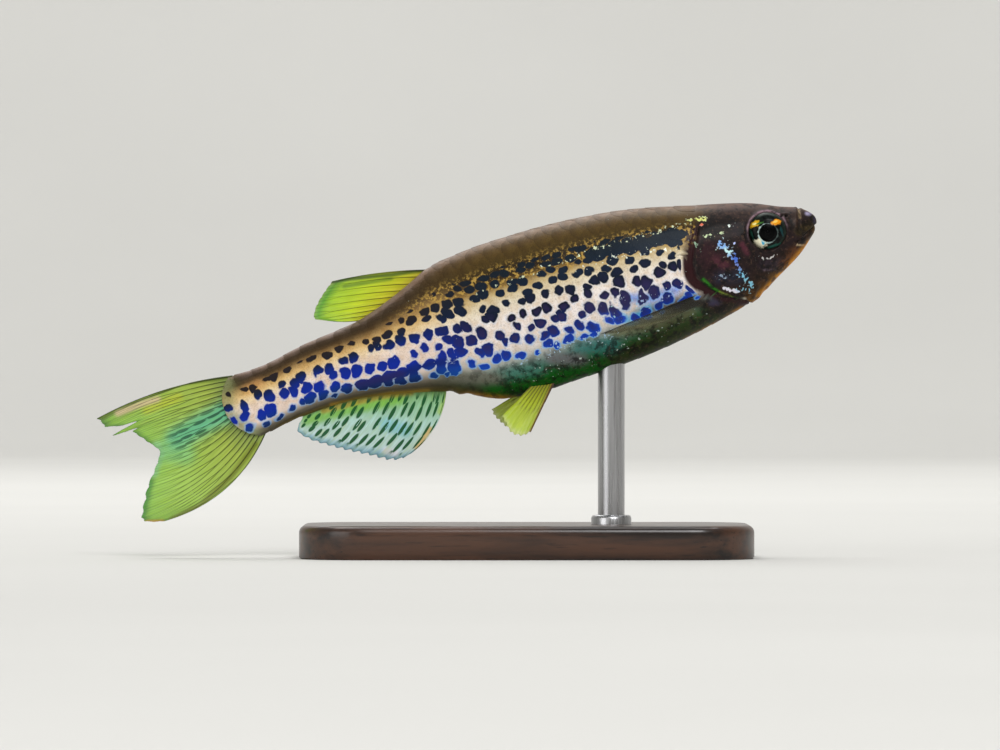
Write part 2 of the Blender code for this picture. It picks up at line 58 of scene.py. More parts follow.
# Outlines of the body, read back from the snout as (back, up), and its half width as (back, half width).
BACK_LINE = (
    (0, 0), (0.3, 0.57), (0.86, 1.0), (1.9, 1.42), (3.4, 2.11), (6.5, 3.02), (12.1, 4.34), (17.0, 4.77),
    (21.0, 4.73), (22.8, 4.5), (24.6, 3.77), (27.2, 2.92), (31.6, 2.43), (34.2, 2.03), (36.4, 2.1), (37.4, 2.3),
)
BELLY_LINE = (
    (0, 0), (0.22, -0.46), (0.81, -1.1), (1.56, -1.68), (3.1, -2.5), (5.0, -3.44), (7.2, -3.92), (12.0, -4.56),
    (16.2, -4.65), (19.6, -4.58), (21.6, -4.16), (23.5, -3.1), (26.5, -2.15), (29.5, -1.57), (33.0, -1.58),
    (35.5, -1.97), (37.4, -2.35),
)
HALF_WIDTH = (
    (0, 0), (0.3, 0.6), (0.86, 0.98), (1.9, 1.36), (3.4, 1.76), (5.5, 2.12), (8.0, 2.38), (12.0, 2.58),
    (16.0, 2.54), (20.0, 2.16), (24.0, 1.6), (28.0, 1.14), (32.0, 0.76), (35.6, 0.44), (36.6, 0.22), (37.4, 0.05),
)
WIDEST_SHARE = ((0, 0.5), (4.0, 0.5), (9.0, 0.47), (16.0, 0.46), (24.0, 0.5), (37.4, 0.5))
BACK_ROUNDNESS = 2.15
BELLY_ROUNDNESS = 2.05
FLESH_END = 36.2
FLESH_END_BULGE = 1.25  # how much further back it reaches in the middle
FLESH_END_SLANT = 0.75  # how much less far on the belly than on the back

GILL_EDGE = (  # rear edge of the gill covers as (up, back)
    (-3.75, 5.0), (-3.26, 5.54), (-2.81, 6.33), (-2.08, 7.22), (-1.12, 7.82), (-0.16, 7.74), (1.03, 7.2),
    (2.11, 6.62), (3.1, 6.25),
)

EYE_BACK, EYE_UP = 3.05, 0.2
EYE_RADIUS = 1.13
EYE_DEPTH = 0.66
EYE_OUT = 1.27
LENS_RISE = 0.05
PUPIL_RADIUS = 0.53
PUPIL_DROP = 0.11  # how far its middle is under the eye's

# Lines on the side of the head as (back, up).
MOUTH_LINE = ((0.0, -0.3), (0.3, -0.42), (0.7, -0.58), (1.2, -0.82))
LIP_GROOVE = ((0.74, 1.1), (0.98, 0.5), (1.18, -0.1), (1.3, -0.75))
CHEEK_LINE = ((4.5, 0.4), (4.35, -0.6), (4.1, -1.6), (3.3, -2.15), (2.3, -1.75))
COVER_LINE = ((4.9, 0.1), (4.85, -1.0), (5.0, -2.1), (5.6, -2.75))
LOWER_COVER_LINE = ((4.95, -1.9), (5.9, -1.75), (7.0, -1.2), (7.7, -0.9))
EYE_CRESCENT = ((4.25, -0.5), (3.9, -1.15), (3.2, -1.55), (2.4, -1.45), (1.8, -0.95))
HEAD_CREASES = (  # how far each line stands out, and its width
    (CHEEK_LINE, -0.03, 0.08), (EYE_CRESCENT, 0.04, 0.18), (COVER_LINE, -0.035, 0.07), (LOWER_COVER_LINE, -0.02, 0.06),
)
NOSTRILS = ((1.68, 0.74), (1.96, 0.8))

FIRST_SCALE = 5.6  # its root
SCALE_ROWS, SCALE_COLUMNS = 9, 32  # rows above and below the widest height, and scales along a row
SCALE_PITCH = 1.06  # along a row
SCALE_ROW = 0.9  # from row to row
SCALE_LENGTH = 1.75
SCALE_HALF_WIDTH = 0.98
SCALE_THICKNESS = 0.01
SCALE_SUNK = 0.045  # its root under the body's surface
SCALE_LIFT = 0.012  # its free edge off it
SCALE_GRID = (6, 9)  # points along and across
SKIN_INSET = 0.04  # the skin under the scales
RIM_ANGLE = math.radians(50)  # edges that turn by more than this are shaded sharp

SPOT_PITCH = 0.79
LEFT_LATTICE = 37.0  # where on the lattice of the spots the left side's part starts
BARBEL_RADIUS = 0.055


def curve_through(points):
    """A smooth function through (place, value) points: cubic pieces, with slopes from the points on either side."""
    places, values = np.array(points, float).T
    steps = np.diff(places)
    slopes = np.gradient(values, places)

    def value_at(place):
        place = np.clip(place, places[0], places[-1])
        i = np.clip(np.searchsorted(places, place) - 1, 0, len(steps) - 1)
        h = steps[i]
        t = (place - places[i]) / h
        return (
            values[i] * (1 + 2 * t) * (1 - t) ** 2
            + values[i + 1] * t * t * (3 - 2 * t)
            + h * slopes[i] * t * (1 - t) ** 2
            - h * slopes[i + 1] * t * t * (1 - t)
        )

    return value_at


def blunt_curve(points):
    """The same function of the square root of the place, so that the snout is round."""
    curve = curve_through([(math.sqrt(back), value) for back, value in points])
    return lambda back: curve(np.sqrt(np.maximum(back, 0)))


def line_through(points):
    """A smooth path through points, as a function of the share of its length from 0 to 1."""
    points = np.array(points, float)
    lengths = np.concatenate([[0], np.cumsum(np.linalg.norm(np.diff(points, axis=0), axis=1))])
    shares = lengths / lengths[-1]
    axes = [curve_through(list(zip(shares, points[:, i]))) for i in range(points.shape[1])]
    return lambda share: np.stack([axis(share) for axis in axes], axis=-1)


def smooth(low, high, value):
    """0 up to low, 1 from high on, and 3t^2 - 2t^3 between. It runs the other way where low is over high."""
    t = np.clip((value - low) / (high - low), 0, 1)
    return t * t * (3 - 2 * t)


def bell(distance, width, power=2):
    """1 at no distance, falling as the exponential of minus a power of distance over width."""
    return np.exp(-(np.abs(distance / width) ** power))


def full_turn(count):
    """Evenly spaced turns from 0, a full turn in all."""
    return np.linspace(0, 2 * math.pi, count, endpoint=False)


def stacked(*values):
    """Numbers and arrays made alike in shape and stacked on a last axis."""
    return np.stack(np.broadcast_arrays(*values), axis=-1)


def unit(vectors):
    return vectors / np.maximum(np.linalg.norm(vectors, axis=-1, keepdims=True), 1e-9)


def colour(code):
    """A sRGB hex value as linear red, green and blue."""
    parts = np.array([int(code[i : i + 2], 16) / 255 for i in (1, 3, 5)])
    return np.where(parts <= 0.04045, parts / 12.92, ((parts + 0.055) / 1.055) ** 2.4)


back_height = blunt_curve(BACK_LINE)
belly_height = blunt_curve(BELLY_LINE)
half_width = blunt_curve(HALF_WIDTH)
widest_share = curve_through(WIDEST_SHARE)
gill_edge = curve_through(GILL_EDGE)


def widest_height(back):
    return belly_height(back) + widest_share(back) * (back_height(back) - belly_height(back))


def body_point(back, turn):
    """The body's smooth surface: an upper and a lower half ellipse with slightly squared shoulders. turn is 0 on
    the back and runs down the right side, to half a turn on the belly and up the left."""
    cos, sin = np.cos(turn), np.sin(turn)
    power = 2 / np.where(cos >= 0, BACK_ROUNDNESS, BELLY_ROUNDNESS)
    middle = widest_height(back)
    reach = np.where(cos >= 0, back_height(back) - middle, middle - belly_height(back))
    side = -half_width(back) * np.sign(sin) * np.abs(sin) ** power
    return stacked(-back, side, middle + reach * np.sign(cos) * np.abs(cos) ** power)


def body_normal(back, turn):
    """The unit outward normal of the smooth body, from two small steps on its surface."""
    step = 0.01
    along = body_point(back + step, turn) - body_point(np.maximum(back - step, 0), turn)
    around = body_point(back, turn + step) - body_point(back, turn - step)
    return unit(np.cross(along, around))


def side_width(back, up):
    """How far the smooth body's surface is from its middle plane at that place in the side view."""
    middle = widest_height(back)
    above = up >= middle
    reach = np.where(above, back_height(back) - middle, middle - belly_height(back))
    power = np.where(above, BACK_ROUNDNESS, BELLY_ROUNDNESS)
    share = np.clip(np.abs(up - middle) / np.maximum(reach, 1e-6), 0, 1)
    return half_width(back) * (1 - share**power) ** (1 / power)


def under_side(back, out):
    """The height of the belly's surface at a distance from the middle plane."""
    middle = widest_height(back)
    share = np.clip(np.abs(out) / half_width(back), 0, 1) ** BELLY_ROUNDNESS
    return middle - (middle - belly_height(back)) * (1 - share) ** (1 / BELLY_ROUNDNESS)


STATIONS = np.linspace(0.5, 37.4, 260)
TURN_STEPS, GIRTH_STEPS = 180, 200  # of the tables of the girth


def girth_tables():
    """For each station along the body, the turn at even shares of its girth, and the girth's length in millimetres
    above and below the widest height. A share is 0 at the widest height, 1 on the back and -1 on the belly."""
    turns = np.linspace(0, math.pi, TURN_STEPS + 1)
    points = body_point(STATIONS[:, None], turns[None, :])
    steps = np.linalg.norm(np.diff(points, axis=1), axis=-1)
    lengths = np.concatenate([np.zeros((len(STATIONS), 1)), np.cumsum(steps, axis=1)], axis=1)
    upper = lengths[:, TURN_STEPS // 2][:, None]
    lower = lengths[:, -1:] - upper
    shares = (upper - lengths) / np.where(lengths <= upper, upper, lower)
    wanted = np.linspace(-1, 1, GIRTH_STEPS + 1)
    table = np.array([np.interp(wanted, row[::-1], turns[::-1]) for row in shares])
    return table, upper[:, 0], lower[:, 0]


GIRTH_TURNS, UPPER_GIRTH, LOWER_GIRTH = girth_tables()


def girths(back):
    """The length of the girth above and below the widest height."""
    return np.interp(back, STATIONS, UPPER_GIRTH), np.interp(back, STATIONS, LOWER_GIRTH)


def girth_share(back, girth):
    """A length round the girth as a share of its upper or lower half."""
    upper, lower = girths(back)
    return girth / np.where(girth > 0, upper, lower)


def turn_at(back, girth):
    """The turn on the right side at a length round the girth, read between the table's four nearest entries."""
    share = np.clip(girth_share(back, girth), -1, 1)
    i = np.clip(np.interp(back, STATIONS, np.arange(len(STATIONS))), 0, len(STATIONS) - 1.001)
    j = np.clip((share + 1) * GIRTH_STEPS / 2, 0, GIRTH_STEPS - 0.001)
    i0, j0 = i.astype(int), j.astype(int)
    fi, fj = i - i0, j - j0
    near = GIRTH_TURNS[i0, j0] * (1 - fj) + GIRTH_TURNS[i0, j0 + 1] * fj
    far = GIRTH_TURNS[i0 + 1, j0] * (1 - fj) + GIRTH_TURNS[i0 + 1, j0 + 1] * fj
    return near * (1 - fi) + far * fi


def girth_place(back, turn):
    """About the length in millimetres round the section from its widest height, positive above: half by the share
    of the turn and half by the share of the height."""
    folded = np.where(turn > math.pi, 2 * math.pi - turn, turn)
    above = folded < math.pi / 2
    power = 2 / np.where(above, BACK_ROUNDNESS, BELLY_ROUNDNESS)
    height_share = np.abs(np.cos(folded)) ** power
    turn_share = np.abs(1 - folded / (math.pi / 2))
    upper, lower = girths(back)
    return np.where(above, upper, -lower) * 0.5 * (turn_share + height_share)


def end_shift(turn):
    """How much further back than FLESH_END the flesh reaches at that turn."""
    return FLESH_END_BULGE * np.sin(turn) ** 2 - FLESH_END_SLANT * (1 - np.cos(turn)) / 2


def distance_to(back, up, path):
    """Distance in the side view from each place to a line through (back, up) points."""
    nearest = np.full(np.shape(back), 1e9)
    for (b0, u0), (b1, u1) in zip(path, path[1:]):
        db, du = b1 - b0, u1 - u0
        t = np.clip(((back - b0) * db + (up - u0) * du) / (db * db + du * du), 0, 1)
        nearest = np.minimum(nearest, np.hypot(back - b0 - t * db, up - u0 - t * du))
    return nearest


def to_world(points):
    """Pitches points of the fish's frame, sets them in place and turns millimetres into metres."""
    x, y, z = np.moveaxis(np.asarray(points, float), -1, 0)
    forward = SNOUT_FORWARD + x * math.cos(PITCH) - z * math.sin(PITCH)
    height = SNOUT_HEIGHT + x * math.sin(PITCH) + z * math.cos(PITCH)
    return np.stack([forward, y, height], axis=-1) * MM


# Faces as arrays of point numbers. A triangle is written as a quad whose last two corners agree.


def grid_faces(rows, columns, wrap=False):
    """Quads of a grid of points numbered row by row. With wrap the last column joins the first."""
    number = np.arange(rows * columns).reshape(rows, columns)
    if wrap:
        number = np.concatenate([number, number[:, :1]], axis=1)
    a, b, c, d = number[:-1, :-1], number[1:, :-1], number[1:, 1:], number[:-1, 1:]
    return np.stack([a, b, c, d], axis=-1).reshape(-1, 4)


def fan(ring, middle):
    """Triangles from a ring of point numbers to one point."""
    return stacked(ring, np.roll(ring, -1), middle, middle)


def plate_faces(rows, columns):
    """Quads of a closed plate: a near grid, a far grid numbered after it, and the rim between them."""
    near = grid_faces(rows, columns)
    count = rows * columns
    number = np.arange(count).reshape(rows, columns)
    rim = np.concatenate([number[0, :], number[1:, -1], number[-1, -2::-1], number[-2:0:-1, 0]])
    following = np.roll(rim, -1)
    side = np.stack([rim, following, following + count, rim + count], axis=-1)
    return np.concatenate([near, near[:, ::-1] + count, side])


def tube_faces(rings, sides):
    """Quads of a tube of rings, with a fan to a pole at each end. The poles are numbered last."""
    first, last = np.arange(sides), np.arange(sides) + (rings - 1) * sides
    ends = fan(first[::-1], rings * sides), fan(last, rings * sides + 1)
    return np.concatenate([grid_faces(rings, sides, wrap=True), *ends])


def repeated(faces, copies, points_each):
    """The same faces for each of many like shapes whose points follow each other."""
    return (faces[None] + (np.arange(copies) * points_each)[:, None, None]).reshape(-1, 4)


def new_mesh(name, places, faces, finish):
    """A smooth mesh from places in metres, with its material."""
    mesh = bpy.data.meshes.new(name)
    faces = [face if face[2] != face[3] else face[:3] for face in faces.tolist()]
    mesh.from_pydata(places.reshape(-1, 3).tolist(), [], faces)
    mesh.shade_smooth()
    mesh.materials.append(finish)
    return mesh


def turn_out(mesh):
    """Flips every face if the mesh's volume is negative, which it is when the faces point in."""
    mesh.calc_loop_triangles()
    corners = np.empty(len(mesh.loop_triangles) * 3, np.int32)
    mesh.loop_triangles.foreach_get("vertices", corners)
    places = np.empty(len(mesh.vertices) * 3, np.float32)
    mesh.vertices.foreach_get("co", places)
    triangles = places.reshape(-1, 3)[corners.reshape(-1, 3)].astype(float)
    triangles -= triangles.mean(axis=(0, 1))
    if np.linalg.det(triangles).sum() < 0:
        mesh.flip_normals()


def make_piece(name, places, faces, finish, slot, **notes):
    """A piece at the origin that rides on the model's one body, with its faces turned out. Each note is three
    numbers at each point, kept as a mesh attribute that the material reads."""
    mesh = new_mesh(name, places, faces, finish)
    turn_out(mesh)
    for note, values in notes.items():
        layer = mesh.attributes.new(note, "FLOAT_VECTOR", "POINT")
        layer.data.foreach_set("vector", np.asarray(values, np.float32).reshape(-1))
    piece = bpy.data.objects.new(name, mesh)
    bpy.context.scene.collection.objects.link(piece)
    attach(piece, "root")
    return piece


def make_tubes(name, middles, radii, out, finish, slot, sides=6, **notes):
    """Many round tapering rods at once. middles holds each rod's points, radii their radii, and out a direction
    that isn't along the rod. A ring is the radius times a turn of the two directions across the rod."""
    ahead = unit(np.gradient(middles, axis=1))
    across = unit(np.cross(ahead, out))
    other = np.cross(ahead, across)
    turn = full_turn(sides)[None, None, :, None]
    ring = np.cos(turn) * across[:, :, None] + np.sin(turn) * other[:, :, None]
    rods = middles[:, :, None] + radii[:, :, None, None] * ring
    count, rings = middles.shape[:2]
    points = np.concatenate([rods.reshape(count, -1, 3), middles[:, :1], middles[:, -1:]], axis=1)
    spread = {}
    for note, values in notes.items():
        around = np.repeat(values[:, :, None], sides, axis=2).reshape(count, -1, 3)
        spread[note] = np.concatenate([around, values[:, :1], values[:, -1:]], axis=1)
    faces = repeated(tube_faces(rings, sides), count, rings * sides + 2)
    return make_piece(name, to_world(points), faces, finish, slot, **spread)


# Colours laid on as a painter of models would: a ramp by height, then washes along named lines.


def ramp(stops, share):
    """Linear colours between (share, hex) stops."""
    places = [place for place, _ in stops]
    codes = np.array([colour(code) for _, code in stops])
    return np.stack([np.interp(share, places, codes[:, i]) for i in range(3)], axis=-1)


def tinted(colours, code, share):
    """Colours moved by a share of the way towards one colour."""
    return colours + (colour(code) - colours) * share[..., None]


def between(first, second, share):
    """The colours a share of the way from the first to the second."""
    return first * (1 - share)[..., None] + second * share[..., None]


def washed(colours, back, up, washes):
    """Lays washes over colours in turn. A wash is a line of (back, up) points, the width at which it fades, its
    colour, and its strength on the line."""
    for path, width, code, strength in washes:
        colours = tinted(colours, code, strength * bell(distance_to(back, up, path), width, 3))
    return colours


# painted highlight: the pale mauve of the last stops, along the ridge of the back
TRUNK_GROUND = (  # from the belly's middle to the back's
    (0.0, "#2c3610"), (0.07, "#124616"), (0.13, "#1c5c30"), (0.18, "#4c7468"), (0.22, "#94a09a"), (0.27, "#d8d2cc"),
    (0.34, "#efe5e0"), (0.5, "#f4eae4"), (0.6, "#e6dcc4"), (0.67, "#cdb888"), (0.71, "#8a6c34"), (0.75, "#3a2c16"),
    (0.8, "#281e10"), (0.84, "#443616"), (0.9, "#54421e"), (0.955, "#5e4a2c"), (0.978, "#7e6650"), (1.0, "#7c6450"),
)
# painted highlight: the pale mauve of the last stops, along the ridge of the tail's back
TAIL_GROUND = (
    (0.0, "#6a5a26"), (0.05, "#4c4638"), (0.1, "#6e675a"), (0.16, "#b8aca0"), (0.22, "#ecd8cc"), (0.48, "#f2e0d4"),
    (0.58, "#f0d8ac"), (0.68, "#dcb878"), (0.76, "#a08050"), (0.82, "#544024"), (0.88, "#3c3020"), (0.94, "#483a2e"),
    (0.965, "#7c6a60"), (1.0, "#8c786e"),
)
# painted highlight: the pale mauve of the last stops, along the top of the head
HEAD_GROUND = (
    (0.0, "#9a6c10"), (0.06, "#5a3c10"), (0.13, "#2e1e12"), (0.3, "#231718"), (0.6, "#221819"), (0.8, "#2c211f"),
    (0.92, "#3c2e2a"), (0.97, "#5e4a42"), (1.0, "#6a544c"),
)
SKIN_WASHES = (
    # the head
    (((6.6, 1.5), (5.5, 1.5), (4.6, 0.9)), 0.5, "#0f0b0a", 0.85),
    (((6.4, -0.8), (7.0, 0.2)), 0.8, "#32181f", 0.75),
    (((6.5, -0.5), (6.1, -0.9)), 0.3, "#5c2e3a", 0.45),
    (((6.6, -1.5), (5.4, -1.9)), 0.45, "#1e2434", 0.75),
    (((4.57, -0.6), (4.72, -0.1)), 0.2, "#6a3040", 0.45),
    (((4.9, 0.7), (4.75, 1.2)), 0.25, "#241a20", 0.7),
    (((3.9, -1.65), (2.9, -1.8)), 0.32, "#322832", 0.8),
    (((4.0, -1.9), (3.26, -2.12)), 0.06, "#7c6a76", 0.7),
    (((1.9, -1.5), (2.7, -2.0)), 0.34, "#6a3c18", 0.75),
    (((4.1, -2.5), (5.0, -3.1)), 0.3, "#3a2410", 0.6),
    (((0.35, -0.25), (1.2, -0.35)), 0.32, "#3c3214", 0.7),
    (((0.9, 0.7), (1.5, 0.0)), 0.25, "#3c2e26", 0.6),
    # painted highlight: a pale lilac gleam on the tip of the upper lip
    (((0.28, 0.38), (0.45, 0.48)), 0.11, "#a8a0c0", 0.85),
    (((0.12, 0.05), (0.2, -0.15)), 0.12, "#2c2c44", 0.7),
    (((0.82, 0.9), (0.93, 0.35)), 0.06, "#a48c68", 0.6),
    (((1.62, -1.12), (1.14, -1.27)), 0.05, "#c8ae88", 0.85),
    (((7.62, -1.3), (7.25, -1.95), (6.72, -2.6), (5.9, -3.08)), 0.1, "#2a8418", 0.85),
    (((6.9, -2.3), (6.3, -2.8), (5.7, -3.14)), 0.045, "#b0c050", 0.6),
    (((5.75, -3.1), (5.6, -3.15)), 0.09, "#f2ecd4", 0.9),
    # behind the gill covers and on the breast
    (((8.6, -2.3), (7.9, -2.75), (7.0, -3.1)), 0.5, "#2a1e16", 0.95),
    (((7.6, -3.3), (5.9, -3.35)), 0.45, "#221610", 0.9),
    (((7.6, -2.75), (7.3, -2.9)), 0.2, "#403a5c", 0.6),
    (((11.9, -2.1), (9.9, -2.1), (8.7, -2.1)), 0.36, "#5e554e", 0.9),
    (((13.6, -2.7), (10.8, -3.05), (8.9, -3.0)), 0.36, "#6a6a4a", 0.85),
    (((12.3, -0.95), (10.9, -1.4), (9.3, -1.4)), 0.3, "#4080e8", 0.75),
    (((13.1, -1.7), (12.5, -2.3), (11.2, -1.9)), 0.26, "#4cc0f0", 0.65),
    # the belly
    (((14.0, -4.25), (11.5, -4.0), (8.4, -3.8)), 0.72, "#27330f", 0.95),
    (((15.9, -2.75), (13.9, -3.35)), 0.5, "#347672", 0.75),
    (((17.6, -2.95), (16.0, -3.6)), 0.45, "#6e6a70", 0.8),
    (((20.6, -3.1), (18.6, -3.4)), 0.5, "#4c8478", 0.6),
    (((21.6, -3.8), (18.7, -4.15), (14.8, -4.5)), 0.5, "#0b5c10", 0.92),
    (((24.3, -1.75), (22.8, -2.5), (21.0, -3.1)), 0.36, "#6c6c60", 0.85),
    (((23.4, -3.4), (20.6, -4.62)), 0.26, "#b8841a", 0.9),
    (((30.9, -1.5), (27.5, -1.95), (25.2, -2.5)), 0.16, "#b08a34", 0.8),
    (((0.75, -1.25), (2.27, -2.15), (3.78, -2.95), (5.37, -3.7), (7.0, -4.1), (9.5, -4.55)), 0.24, "#d48a0c", 0.95),
    # the back and the tail
    (((6.2, 3.0), (4.4, 2.5)), 0.25, "#5c463c", 0.6),
    (((34.6, 1.1), (35.3, 0.95)), 0.3, "#e8b070", 0.5),
    (((36.6, 1.6), (37.1, 0.0), (35.9, -1.9)), 0.6, "#8c9464", 0.75),
    (((35.6, -2.0), (34.6, -1.8)), 0.25, "#5a564c", 0.8),
)
TRUNK_INK = (
    (0.15, "#1460d0"), (0.25, "#0a3cb0"), (0.36, "#06246c"), (0.48, "#050e20"), (0.66, "#081c30"), (0.76, "#0c1a26"),
    (1.0, "#0a0b0e"),
)
TAIL_INK = (
    (0.06, "#161a2c"), (0.16, "#0a3478"), (0.3, "#0428a0"), (0.5, "#06247c"), (0.6, "#0a1c3c"), (0.7, "#201a1c"),
)
INK_WASHES = (
    (((14.2, -0.9), (12.6, -1.2), (11.0, -1.1)), 0.8, "#2a2850", 0.85),
    (((14.2, -1.7), (12.6, -2.1)), 0.4, "#2450c8", 0.7),
    (((29.2, -0.75), (27.4, -0.95), (26.4, -1.0)), 0.3, "#28225a", 0.8),
    (((25.9, -1.05), (24.5, -0.95), (23.0, -1.35)), 0.25, "#0c2068", 0.8),
)
FLECKS = (  # lines of bright flecks: the last number is how closely they are strewn
    (((7.2, 2.28), (6.8, 2.2), (6.35, 2.05)), 0.2, "#d4d42c", 0.72),
    (((6.69, 1.8), (6.6, 1.78)), 0.12, "#d84e0c", 0.9),
    (((6.75, 1.08), (6.1, 0.98), (5.6, 1.0)), 0.2, "#a4b43a", 0.5),
    (((7.45, 1.1), (7.25, 0.4)), 0.2, "#3c8424", 0.5),
    (((5.28, 1.3), (4.85, 1.25)), 0.16, "#e8f0ea", 0.5),
    (((5.14, 0.15), (5.1, 0.12)), 0.09, "#b4bcff", 0.9),
    (((5.95, 0.4), (5.68, -0.07), (5.37, -0.74)), 0.32, "#2088e8", 0.64),
    (((5.78, -0.1), (5.5, -0.32)), 0.17, "#dcfff0", 0.72),
    (((5.35, -0.6), (5.35, -1.4)), 0.26, "#1a48d0", 0.68),
    (((6.9, -1.35), (6.2, -1.6), (5.5, -1.75)), 0.2, "#2a58b0", 0.5),
    (((5.36, -1.69), (5.11, -2.15), (4.9, -2.55)), 0.24, "#4cc0ea", 0.66),
    (((6.64, -2.15), (6.22, -2.45), (5.84, -2.62)), 0.15, "#efe8f8", 0.8),
    (((5.75, -2.45), (5.1, -2.82)), 0.18, "#48bee6", 0.62),
    (((4.28, -1.06), (3.41, -1.35), (2.9, -1.3)), 0.12, "#dcc6ce", 0.52),
    (((12.3, -1.0), (10.9, -1.5), (9.5, -1.6)), 0.4, "#2c68ee", 0.4),
    (((13.4, -0.9), (13.2, -2.3)), 0.2, "#38c0f4", 0.42),
    (((11.75, -1.0), (11.6, -2.1)), 0.18, "#38ccf4", 0.44),
    (((19.5, -2.6), (16.0, -2.4), (13.4, -2.8)), 0.4, "#3894e8", 0.42),
    (((21.0, 2.0), (17.8, 2.2), (15.2, 2.2), (12.8, 2.45), (10.3, 2.3), (7.3, 2.15)), 0.22, "#c8c040", 0.42),
    (((8.5, -2.9), (14.0, -3.6), (20.0, -3.7)), 0.7, "#c8dcd4", 0.24),
    (((14.5, 1.55), (12.0, 1.6), (9.6, 1.2), (8.5, 0.9)), 0.3, "#f2ecd2", 0.36),
)
BLACK_STRIPE = ((13.4, 2.15), (12.4, 2.1), (10.5, 1.8), (8.9, 1.68), (7.6, 1.55))
LONG_BAR = ((29.0, -0.78), (27.4, -0.95), (25.9, -1.08), (24.5, -0.95), (22.9, -1.35))


def skin_notes(back, turn, up, along_scale, across_scale):
    """What the skin's material reads at each point. ground, ink and fleck are colours. lattice is the place on the
    lattice of the spots, and how far the spots reach there. amount is how closely flecks are strewn, how dark the
    scales' edges are, and how much gold there is between the spots. scale is the place on a scale along and from
    its middle, and how mottled the skin is. tone is the spots' blue halo, how specked the pale skin is, and how
    purple the spots' middles are."""
    behind_gill = back - gill_edge(up)
    low, high = belly_height(back), back_height(back)
    height = np.clip((up - low) / np.maximum(high - low, 1e-6), 0, 1)
    rearward = smooth(19.5, 26.0, back)
    nape = smooth(1.7, 2.7, up)
    head = smooth(0.3 + 1.4 * nape, -0.1 - 1.8 * nape, behind_gill)

    trunk = between(ramp(TRUNK_GROUND, height), ramp(TAIL_GROUND, height), rearward)
    ground = between(trunk, ramp(HEAD_GROUND, height), head)
    ground = washed(ground, back, up, SKIN_WASHES)
    band = smooth(-0.05, 0.05, behind_gill) * smooth(0.85, 0.65, behind_gill) * smooth(2.2, 1.4, up)
    ground = tinted(ground, "#2f1418", band)
    from_eye = np.hypot(back - EYE_BACK, up - EYE_UP)
    lid = 0.7 * bell(from_eye - EYE_RADIUS - 0.07, 0.06) * smooth(-0.4, 0.5, up - EYE_UP)
    ground = tinted(ground, "#a68894", lid)
    # painted shade: the skin darkened along the grooves of the cheek and the mouth, in the groove under the gill
    # cover's rear edge and in the nostrils
    lines = 0.55 * bell(distance_to(back, up, CHEEK_LINE), 0.07) + 0.5 * bell(distance_to(back, up, MOUTH_LINE), 0.06)
    lines = lines + 0.6 * bell(behind_gill, 0.06) * smooth(2.6, 1.8, up)
    for place in NOSTRILS:
        lines = lines + bell(np.hypot(back - place[0], up - place[1]), 0.1)
    ground = ground * (1 - np.clip(lines, 0, 0.95))[..., None]

    ink = washed(between(ramp(TRUNK_INK, height), ramp(TAIL_INK, height), rearward), back, up, INK_WASHES)
    fleck = washed(0 * ground + colour("#c9d8d0"), back, up, FLECKS)
    strewn = 0 * back
    for path, width, _, amount in FLECKS:
        strewn = np.maximum(strewn, amount * bell(distance_to(back, up, path), width))

    low_edge = 0.21 - 0.14 * rearward
    high_edge = 0.86 - 0.02 * rearward
    inside = smooth(low_edge - 0.03, low_edge + 0.04, height) * smooth(high_edge, high_edge - 0.05, height)
    inside = inside * smooth(0.7, 0.9, behind_gill)
    reach = 0.5 - 1.2 * (1 - inside) - 0.16 * smooth(35.3, 36.6, back)
    reach = reach + bell(distance_to(back, up, BLACK_STRIPE), 0.27, 3) * smooth(0.0, 0.25, behind_gill)
    reach = reach + 0.4 * bell(distance_to(back, up, LONG_BAR), 0.2)
    tall = bell(np.hypot((back - 12.4) / 2.0, (up + 1.3) / 1.3), 1.0)
    girth = girth_place(back, turn)
    side = np.where(np.sin(turn) < 0, LEFT_LATTICE, 0.0)
    lattice_back = back / SPOT_PITCH + side
    lattice_up = (girth + 0.07 * np.maximum(girth, 0) ** 2) / SPOT_PITCH * (1 - 0.45 * tall)

    gold = smooth(0.63, 0.72, height) * smooth(0.87, 0.8, height)
    gold = gold * smooth(27.0, 23.0, back) * smooth(0, 0.5, behind_gill)
    edges = smooth(0.8, 0.9, height) * smooth(0.2, 0.6, behind_gill)
    mottle = np.maximum(head, smooth(0.3, 0.15, height) * (1 - rearward))
    halo = 0.25 * smooth(0.62, 0.5, height) + 0.75 * smooth(0.42, 0.2, height) * (1 - 0.4 * rearward)
    cores = np.maximum(tall, bell(height - 0.4, 0.14) * (1 - rearward))
    specks = smooth(0.2, 0.3, height) * (1 - head)
    return {
        "ground": ground,
        "ink": ink,
        "fleck": fleck,
        "lattice": stacked(lattice_back, lattice_up, reach),
        "amount": stacked(strewn, edges, gold),
        "scale": stacked(along_scale, across_scale, mottle),
        "tone": stacked(halo, specks, cores),
    }


# Materials.


def feed(socket, value):
    """Gives an input its value: a node or an output to link, a hex colour, or numbers. None leaves it."""
    if isinstance(value, bpy.types.Node):
        value = next(output for output in value.outputs if output.enabled)
    if isinstance(value, bpy.types.NodeSocket):
        socket.id_data.links.new(value, socket)
    elif isinstance(value, str):
        socket.default_value = (*colour(value), 1.0)
    elif value is not None:
        socket.default_value = value


USUAL_SETTINGS = {
    "Math": {"operation": "MULTIPLY"}, "VectorMath": {"operation": "MULTIPLY"}, "Mix": {"data_type": "RGBA"},
}


